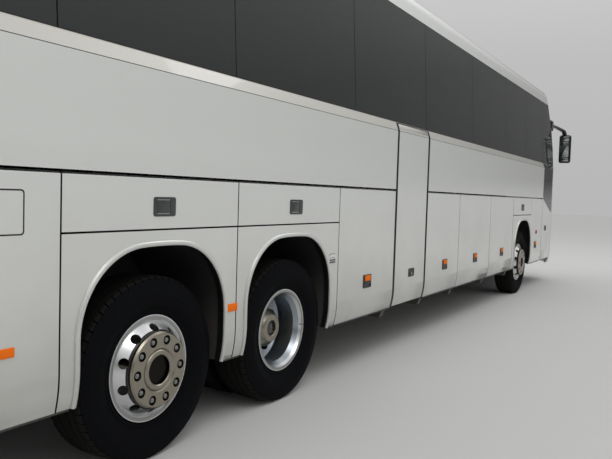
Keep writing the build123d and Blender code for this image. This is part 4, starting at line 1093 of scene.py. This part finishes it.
class COACH_OT_side_fittings(Step, bpy.types.Operator):
    """Add latches, flap pulls with their marker lamps, the service lock, the lid's seam and door handles"""

    bl_idname = "coach.side_fittings"
    bl_label = "Side fittings"

    def build(self):
        for word, side in SIDES.items():
            latches = [side_latch(side, *row) for row in LATCHES]
            fitted(joined(f"latches_{word}", latches), "coach_body", "Latch grey")
            for number, station in enumerate(HANDLE_STATIONS[word], 1):
                names = (f"flap_pull_{word}_{number}", f"flap_marker_{word}_{number}")
                flap_handle(names, f"flap_{word}_{number}", side, station)
            flap_handle((f"front_pull_{word}", f"front_marker_{word}"), "coach_body", side, FRONT_PULL)
        self.covers()
        self.door_handles()

    def covers(self):
        """The bright service lock by the drive wheel with two dark bars of painted shade across it, and the
        lid's thin seam behind the tag wheel.
        """
        plate = cupped_plate("service_lock", **SERVICE_LOCK)
        x = at(SERVICE_LOCK["station"])
        bar = soften(side_plate("bar", -1, x, 0.034, 1.001, 1.017, 0.006, 0.0), 0.002, 2)
        fitted(joined("service_lock", [plate, bar]), "coach_body", "Chrome")
        # Painted shade: two dark bars across the lock stand for its shaded lower parts.
        edges = [side_plate("edge", -1, x, 0.047, z, z + 0.012, 0.0065) for z in (0.972, 0.990)]
        edges = [soften(edge, 0.002, 2) for edge in edges]
        fitted(joined("service_lock_painted_shade", edges), "coach_body", "Latch grey")
        x = at(HATCH["station"])
        outer = corners(side_plate("hatch_seam", -1, x, *HATCH["outer"]), 0.018)
        seam = cut(outer, corners(side_plate("hole", -1, x, *HATCH["inner"]), 0.012))
        fitted(shade(seam), "coach_body", "Black trim")

    def door_handles(self):
        """The front door's flush pull, and the middle door's emergency release with its knob."""
        pull = cupped_plate("front_door_pull", **FRONT_DOOR_PULL)
        fitted(pull, "front_door", "Black trim")
        plate = cupped_plate("mid_door_release", **MID_DOOR_RELEASE)
        fitted(plate, "mid_door", "Black trim")
        x, y, z = at(MID_DOOR_RELEASE["station"]), -HALF_WIDTH, KNOB_Z
        knob = tube("knob", (x, y, z), (x, y - 0.009, z), KNOB_RADIUS, 32)
        bar = block("bar", (x - 0.017, y - 0.013, z - 0.004), (x + 0.017, y - 0.008, z + 0.004))
        knob = joined("mid_door_knob", [soften(knob, 0.002, 2), soften(bar, 0.001, 2)])
        fitted(knob, "mid_door", "Nut metal")


# Reflectors. Columns: station of the middle, level, length, height
REFLECTORS = [
    (-0.7195, 0.7825, 0.117, 0.049),
    (-2.3155, 0.7885, 0.117, 0.043),
]
TURN_LAMP_AT = (8.106, 0.985)  # station and level of the round side lamp
# Its section: radius and how far it stands out
TURN_LAMP = [(0.0, 0.012), (0.022, 0.011), (0.034, 0.006), (0.036, 0.0), (0.036, -0.01), (0.0, -0.01)]
TAIL_MARKER_Y, TAIL_MARKER_Z = (-0.98, -0.86, 0.86, 0.98), (3.262, 3.292)


class COACH_OT_lamps(Step, bpy.types.Operator):
    """Add side reflectors, round side lamps and the tail's marker lamps"""

    bl_idname = "coach.lamps"
    bl_label = "Side and marker lamps"

    def build(self):
        for word, side in SIDES.items():
            strips = []
            for station, z, length, height in REFLECTORS:
                x0, x1, z0 = at(station) - length / 2, at(station) + length / 2, z - height / 2
                strip = side_strip("lens", side, x0, x1, z0, z0 + height, 0.007, -0.01)
                strips.append(soften(strip, 0.004, 3, 60))
            fitted(joined(f"reflectors_{word}", strips), "coach_body", "Amber lens")
            place = (at(TURN_LAMP_AT[0]), side * HALF_WIDTH, TURN_LAMP_AT[1])
            outline = [(radius, side * out) for radius, out in TURN_LAMP]
            lamp = shade(lathe(f"turn_lamp_{word}", outline, place, 40), 40)
            fitted(lamp, "coach_body", "Red lens")
        self.tail_markers()

    def tail_markers(self):
        """Four small lamps along the top of the tail."""
        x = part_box("rear_panel")[0].x + 0.1
        (low, high), markers = TAIL_MARKER_Z, []
        for y in TAIL_MARKER_Y:
            marker = block("marker", (x, y - 0.04, low), (x + 0.074, y + 0.04, high))
            markers.append(soften(marker, 0.006, 3))
        fitted(joined("tail_markers", markers), "coach_body", "Red lens")


# Mirrors and nose. The panes are ranges of Z
MIRROR_HEAD = {"x": 6.96, "y": (1.245, 1.465), "panes": [(2.342, 2.412), (2.424, 2.732), (2.744, 2.838)]}


class COACH_OT_mirror_glass(Step, bpy.types.Operator):
    """Put the glass in the backs of both mirror heads"""

    bl_idname = "coach.mirror_glass"
    bl_label = "Mirror glass"

    def build(self):
        x, (y0, y1) = MIRROR_HEAD["x"], MIRROR_HEAD["y"]
        for word, side in SIDES.items():
            panes = []
            for low, high in MIRROR_HEAD["panes"]:
                pane = side_block("pane", side, x - 0.002, x + 0.01, y0 + 0.03, y1 - 0.03, low, high)
                panes.append(corners(pane, 0.022, "x"))
            fitted(joined(f"mirror_glass_{word}", panes), "coach_body", "Mirror glass")


# Columns: distance out from the middle, level, radius
HEADLAMPS = [(0.845, 0.865, 0.062), (0.985, 0.865, 0.062), (1.105, 0.88, 0.044)]
# The meshes behind the air intakes: half width, bottom, top
INTAKES = [(0.555, 0.59, 0.70), (0.615, 0.415, 0.505)]
# Sections of a lamp's ring and lens: share of the radius and how far out
LAMP_RING = [(1, -0.004), (1, 0.003), (0.94, 0.005), (0.86, 0.001), (0.86, -0.004), (1, -0.004)]
LAMP_LENS = [(0.0, 0.004), (0.5, 0.0032), (0.87, 0.0005), (0.87, -0.004), (0.0, -0.004)]


class COACH_OT_nose(Step, bpy.types.Operator):
    """Add the headlamps' lenses, the mesh behind the air intakes and the bare plate holder behind"""

    bl_idname = "coach.nose"
    bl_label = "Headlamps, intakes and plate holder"

    def build(self):
        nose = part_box("front_panel")[1].x
        meshes = [block("net", (nose - 0.16, -half, z0), (nose - 0.15, half, z1)) for half, z0, z1 in INTAKES]
        fitted(joined("intake_mesh", meshes), "coach_body", "Dark mesh")
        self.headlamps()
        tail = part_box("rear_panel")[0].x
        plate = block("rear_plate_holder", (tail - 0.004, -0.27, 0.42), (tail + 0.02, 0.27, 0.54))
        fitted(corners(plate, 0.015, "x"), "coach_body", "Black trim")

    def headlamps(self):
        """Round lamps under each headlamp's dark cover, each square to the curved nose."""
        cover = NODES["headlamps"]
        for word, side in SIDES.items():
            rings, lenses = [], []
            for y, z, radius in HEADLAMPS:
                hit, place, normal, _ = cover.ray_cast(Vector((9, side * y, z)), Vector((-1, 0, 0)))
                if not hit:
                    raise RuntimeError(f"no headlamp cover at {y}, {z}")
                turn = Vector((0, 1, 0)).rotation_difference(normal).to_matrix().to_4x4()
                square = Matrix.Translation(place) @ turn
                for outline, found in ((LAMP_RING, rings), (LAMP_LENS, lenses)):
                    section = [(radius * share, out) for share, out in outline]
                    piece = shade(lathe("lamp", section, (0, 0, 0), 40), 40)
                    piece.data.transform(square)
                    found.append(piece)
            fitted(joined(f"headlamp_rings_{word}", rings), "coach_body", "Chrome")
            fitted(joined(f"headlamp_lenses_{word}", lenses), "coach_body", "Lamp lens")


# Roof unit
FAN_STATIONS = (1.75, 2.7, 3.65)
FAN_RINGS = (0.07, 0.12, 0.17, 0.22, 0.27)
SPOKE_LENGTH, WIRE_RADIUS, WELL_RADIUS = 0.3, 0.003, 0.29


class COACH_OT_roof_fans(Step, bpy.types.Operator):
    """Add the three fan grilles on the roof unit"""

    bl_idname = "coach.roof_fans"
    bl_label = "Roof fans"

    def build(self):
        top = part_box("roof_pod")[1].z
        fans = []
        for station in FAN_STATIONS:
            x = at(station)
            fans += [self.ring(x, top, radius) for radius in FAN_RINGS]
            hub = Vector((x, 0, top - 0.005))
            for angle in range(0, 360, 45):
                turn = math.radians(angle)
                far = Vector((math.cos(turn), math.sin(turn), 0)) * SPOKE_LENGTH
                fans.append(tube("spoke", hub, hub + far, WIRE_RADIUS, 8))
        fitted(joined("fan_grilles", fans), "coach_body", "Black trim")
        places = [Vector((at(station), 0, top)) for station in FAN_STATIONS]
        low, high = Vector((0, 0, -0.02)), Vector((0, 0, -0.011))
        wells = [tube("well", place + low, place + high, WELL_RADIUS, 64) for place in places]
        fitted(joined("fan_wells", wells), "coach_body", "Dark mesh")

    def ring(self, x, top, radius):
        calm()
        bpy.ops.mesh.primitive_torus_add(
            location=(x, 0, top - WIRE_RADIUS), major_radius=radius, minor_radius=WIRE_RADIUS,
            major_segments=48, minor_segments=6,
        )
        return shade(settle("ring"), 60)


# Seats
SEAT_PITCH = 0.830
FIRST_ROW = 7.0
ROW_COUNT = 13
SEAT_Y = 0.688
SEAT_HALF = 0.478
DECK_Z = 1.5
SEAT_LEAN, DRIVER_LEAN = 17, 8  # degrees
MID_STAIRS = (1.325, 2.985)  # no seat on the right stands over them
DRIVER_SEAT_AT = (8.23, 0.64, 0.96)  # station, Y and floor level


def pad(name, low, high, squeeze=0.12):
    """A crowned cushion: a box of soft corners whose sides pull in, smoothed by subdivision."""
    piece = block(name, low, high)
    pick(piece)
    bpy.ops.object.mode_set(mode="EDIT")
    bpy.ops.mesh.select_all(action="SELECT")
    bpy.ops.mesh.subdivide(number_cuts=3, smoothness=0.0)
    bpy.ops.object.mode_set(mode="OBJECT")
    middle = (Vector(low) + Vector(high)) / 2
    half = (Vector(high) - Vector(low)) / 2
    for vertex in piece.data.vertices:
        off = vertex.co - middle
        share = [abs(off[i] / half[i]) for i in range(3)]
        pull = squeeze * (share[0] * share[1] * share[2]) ** 0.8
        vertex.co = middle + off * (1 - pull)
    modify(piece, "SUBSURF", levels=1, render_levels=1)
    pick(piece)
    bpy.ops.object.shade_smooth()
    return piece


def lean_back(x, z, degrees):
    """The turn of a seat's back about its lower rear edge."""
    edge = Vector((x, 0, z))
    turn = Matrix.Rotation(math.radians(-degrees), 4, "Y")
    return Matrix.Translation(edge) @ turn @ Matrix.Translation(-edge)


def twin_seat():
    """Two upholstered seats side by side at the origin: their pads, and the frame under and between them."""
    pads, bolsters, frames = [], [], []
    z = DECK_Z
    lean = lean_back(0.02, z + 0.47, SEAT_LEAN)
    for sign in (1, -1):
        y0, y1 = sorted((sign * 0.03, sign * (SEAT_HALF - 0.02)))
        pads.append(pad("cushion", (0.0, y0 + 0.05, z + 0.385), (0.47, y1 - 0.05, z + 0.488)))
        back = pad("back", (-0.06, y0 + 0.05, z + 0.49), (0.05, y1 - 0.05, z + 0.96))
        head = pad("head", (-0.06, y0 + 0.06, z + 0.965), (0.045, y1 - 0.06, z + 1.16))
        for piece in (back, head):
            piece.data.transform(lean)
            pads.append(piece)
        for edge in (y0, y1 - 0.055):
            wing = pad("wing", (-0.07, edge, z + 0.49), (0.075, edge + 0.055, z + 1.0))
            wing.data.transform(lean)
            roll = pad("roll", (0.0, edge, z + 0.385), (0.48, edge + 0.055, z + 0.5))
            bolsters += [wing, roll]
        shell = soften(block("shell", (-0.085, y0 + 0.02, z + 0.46), (-0.058, y1 - 0.02, z + 1.12)), 0.012, 3)
        shell.data.transform(lean)
        grip = tube("grip", (-0.08, y0 + 0.1, z + 1.13), (-0.08, y1 - 0.1, z + 1.13), 0.012, 12)
        grip.data.transform(lean)
        pan = soften(block("pan", (0.02, y0 + 0.01, z + 0.372), (0.45, y1 - 0.01, z + 0.392)), 0.006, 2)
        frames += [shell, grip, pan]
    rest = soften(block("rest", (0.02, -0.022, z + 0.62), (0.36, 0.022, z + 0.652)), 0.01, 3)
    foot = soften(block("foot", (0.09, -0.25, z), (0.37, 0.25, z + 0.03)), 0.006, 2)
    feet = [Vector((x, y, z + 0.02)) for x in (0.12, 0.34) for y in (-0.2, 0.2)]
    legs = [tube("leg", spot, spot + Vector((0, 0, 0.36)), 0.022, 16) for spot in feet]
    beam = soften(block("beam", (0.1, -0.26, z + 0.34), (0.36, 0.26, z + 0.375)), 0.006, 2)
    frames += [rest, foot, beam, *legs]
    return joined("pads", pads), joined("bolsters", bolsters), joined("frames", frames)


def seat_spots():
    """X and Y of each twin seat."""
    for side in (1, -1):
        for row in range(ROW_COUNT):
            station = FIRST_ROW - row * SEAT_PITCH
            if side > 0 or not MID_STAIRS[0] < station < MID_STAIRS[1]:
                yield at(station), side * SEAT_Y


class COACH_OT_seats(Step, bpy.types.Operator):
    """Upholster the passenger seats"""

    bl_idname = "coach.seats"
    bl_label = "Passenger seats"

    def build(self):
        kinds = {
            "pads": ("Woven cloth", "seat_fabric"),
            "bolsters": ("Bolster cloth", "seat_fabric"),
            "frames": ("Dark trim", "black_trim"),
        }
        made = []
        for first, (kind, (finish, slot)) in zip(twin_seat(), kinds.items()):
            copies = [copy_of(first, "seat", Matrix.Translation((x, y, 0))) for x, y in seat_spots()]
            bpy.data.objects.remove(first)
            piece = fitted(joined(f"seat_{kind}", copies), "coach_body", finish)
            made.append(piece)
        for piece in made:
            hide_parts("passenger_seats")


class COACH_OT_driver_seat(Step, bpy.types.Operator):
    """Upholster the driver's seat"""

    bl_idname = "coach.driver_seat"
    bl_label = "Driver's seat"

    def build(self):
        station, y, z = DRIVER_SEAT_AT
        x = at(station)
        lean = lean_back(x - 0.02, z + 0.5, DRIVER_LEAN)
        cushion = pad("cushion", (x, y - 0.23, z + 0.39), (x + 0.47, y + 0.23, z + 0.48))
        back = pad("back", (x - 0.06, y - 0.22, z + 0.5), (x + 0.05, y + 0.22, z + 0.98))
        head = pad("head", (x - 0.06, y - 0.13, z + 0.985), (x + 0.03, y + 0.13, z + 1.14))
        for piece in (back, head):
            piece.data.transform(lean)
        pads = joined("driver_seat_pads", [cushion, back, head])
        fitted(pads, "coach_body", "Woven cloth")
        base = soften(block("base", (x + 0.07, y - 0.16, z), (x + 0.39, y + 0.16, z + 0.1)), 0.01, 3)
        bellows = block("bellows", (x + 0.09, y - 0.14, z + 0.1), (x + 0.37, y + 0.14, z + 0.36))
        soften(bellows, 0.02, 3)
        pan = soften(block("pan", (x + 0.01, y - 0.22, z + 0.36), (x + 0.46, y + 0.22, z + 0.392)), 0.008, 2)
        stand = joined("driver_seat_base", [base, bellows, pan])
        fitted(stand, "coach_body", "Dark trim")
        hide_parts("driver_seat")
        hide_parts("driver_seat")


# Stage
CAMERA = {"place": (-7.0663, -3.8007, 1.5022), "yaw": 0.5396, "pitch": -0.0509, "roll": 0.0304, "lens": 38.94}


def photo_camera():
    """The camera where the photographer stood."""
    yaw, pitch, roll = CAMERA["yaw"], CAMERA["pitch"], CAMERA["roll"]
    ahead = Vector((math.cos(yaw) * math.cos(pitch), math.sin(yaw) * math.cos(pitch), math.sin(pitch)))
    right = ahead.cross(Vector((0, 0, 1))).normalized()
    up = right.cross(ahead)
    side = right * math.cos(roll) + up * math.sin(roll)
    top = up * math.cos(roll) - right * math.sin(roll)
    turn = Matrix((side, top, -ahead)).transposed().to_4x4()
    calm()
    bpy.ops.object.camera_add()
    camera = bpy.context.object
    camera.matrix_world = Matrix.Translation(CAMERA["place"]) @ turn
    camera.data.lens = CAMERA["lens"]
    camera.data.sensor_width = 36
    camera.data.sensor_fit = "HORIZONTAL"
    camera.data.clip_start, camera.data.clip_end = 0.05, 400
    bpy.context.scene.camera = camera


def plain_surface(name, colour, roughness):
    """A matt finish for the stage, with a barely uneven tone."""
    finish = Finish(name, colour, roughness, Specular_IOR_Level=0.15)
    noise = finish.texture("ShaderNodeTexNoise", Scale=0.6)
    finish.tint(finish.both(noise.outputs["Fac"], 0.12), [value * 0.9 for value in colour[:3]] + [1])
    return finish.material


class COACH_OT_stage(Step, bpy.types.Operator):
    """Set the floor, the sky, the soft lights and the camera"""

    bl_idname = "coach.stage"
    bl_label = "Stage and camera"

    def build(self):
        calm()
        bpy.ops.mesh.primitive_circle_add(vertices=96, radius=90, fill_type="NGON", location=(0, 0, 0))
        floor = settle("studio_floor")
        floor.data.materials.append(plain_surface("Studio floor", (0.59, 0.59, 0.58), 0.9))
        bpy.context.scene.view_settings.view_transform = "Standard"
        self.sky()
        for place, power, size in LIGHTS:
            calm()
            bpy.ops.object.light_add(type="AREA", location=place)
            light = bpy.context.object
            light.data.energy = power
            light.data.shape = "RECTANGLE"
            light.data.size, light.data.size_y = size
            light.rotation_euler = (Vector((0, 0, 1.2)) - Vector(place)).to_track_quat("-Z", "Y").to_euler()
        photo_camera()

    def sky(self):
        """A plain studio sky: pale grey low down, white overhead, with a dark skyline in reflections."""
        world = bpy.data.worlds.new("Studio sky")
        bpy.context.scene.world = world
        world.use_nodes = True
        nodes, links = world.node_tree.nodes, world.node_tree.links
        place, split = nodes.new("ShaderNodeTexCoord"), nodes.new("ShaderNodeSeparateXYZ")
        links.new(place.outputs["Generated"], split.inputs[0])
        tones = []
        for stops in (SKY, SKYLINE):
            ramp = nodes.new("ShaderNodeValToRGB")
            knots = ramp.color_ramp.elements
            while len(knots) < len(stops):
                knots.new(0.5)
            for knot, (place_at, value) in zip(knots, stops):
                knot.position = place_at
                knot.color = (value, value, value, 1)
            links.new(split.outputs["Z"], ramp.inputs["Fac"])
            tones.append(ramp.outputs["Color"])
        mix = nodes.new("ShaderNodeMix")
        mix.data_type = "RGBA"
        links.new(nodes.new("ShaderNodeLightPath").outputs["Is Glossy Ray"], mix.inputs["Factor"])
        links.new(tones[0], mix.inputs["A"])
        links.new(tones[1], mix.inputs["B"])
        links.new(mix.outputs["Result"], nodes["Background"].inputs["Color"])
        nodes["Background"].inputs["Strength"].default_value = SKY_STRENGTH


# Brightness of the sky against the sine of its height, as it lights the scene and as it shows in reflections
SKY = [(0.0, 0.59), (0.2, 0.65), (0.6, 1.02)]
SKYLINE = [(0.0, 0.56), (0.03, 0.16), (0.22, 0.26), (0.5, 0.9)]
SKY_STRENGTH = 0.8
# Area lamps: place, power and the two sides of each
LIGHTS = [
    ((-10, -9, 17), 720, (9, 9)),
    ((12, -6, 16), 330, (9, 9)),
    ((-2, 14, 13), 1000, (14, 8)),
]


STEPS = [
    COACH_OT_finishes,
    COACH_OT_tyres,
    COACH_OT_wheel_fittings,
    COACH_OT_seals,
    COACH_OT_skirt_lips,
    COACH_OT_arch_beads,
    COACH_OT_side_fittings,
    COACH_OT_lamps,
    COACH_OT_mirror_glass,
    COACH_OT_nose,
    COACH_OT_roof_fans,
    COACH_OT_seats,
    COACH_OT_driver_seat,
    COACH_OT_stage,
]


class COACH_PT_dressing(bpy.types.Panel):
    """The steps of the dressing, in order"""

    bl_label = "Touring coach"
    bl_idname = "COACH_PT_dressing"
    bl_space_type = "VIEW_3D"
    bl_region_type = "UI"
    bl_category = "Coach"

    def draw(self, context):
        for group in (context.scene.coach_sizes, context.scene.coach_colours):
            box = self.layout.box()
            for name in group.__annotations__:
                box.prop(group, name)
        for step in STEPS:
            self.layout.operator(step.bl_idname)


CLASSES = [CoachSizes, CoachColours, *STEPS, COACH_PT_dressing]


def register():
    for item in CLASSES:
        bpy.utils.register_class(item)
    bpy.types.Scene.coach_sizes = bpy.props.PointerProperty(type=CoachSizes)
    bpy.types.Scene.coach_colours = bpy.props.PointerProperty(type=CoachColours)


def unregister():
    del bpy.types.Scene.coach_colours
    del bpy.types.Scene.coach_sizes
    for item in reversed(CLASSES):
        bpy.utils.unregister_class(item)


def main():
    register()
    for step in STEPS:
        group, name = step.bl_idname.split(".")
        getattr(getattr(bpy.ops, group), name)()
    calm()


if __name__ == "__main__":
    main()
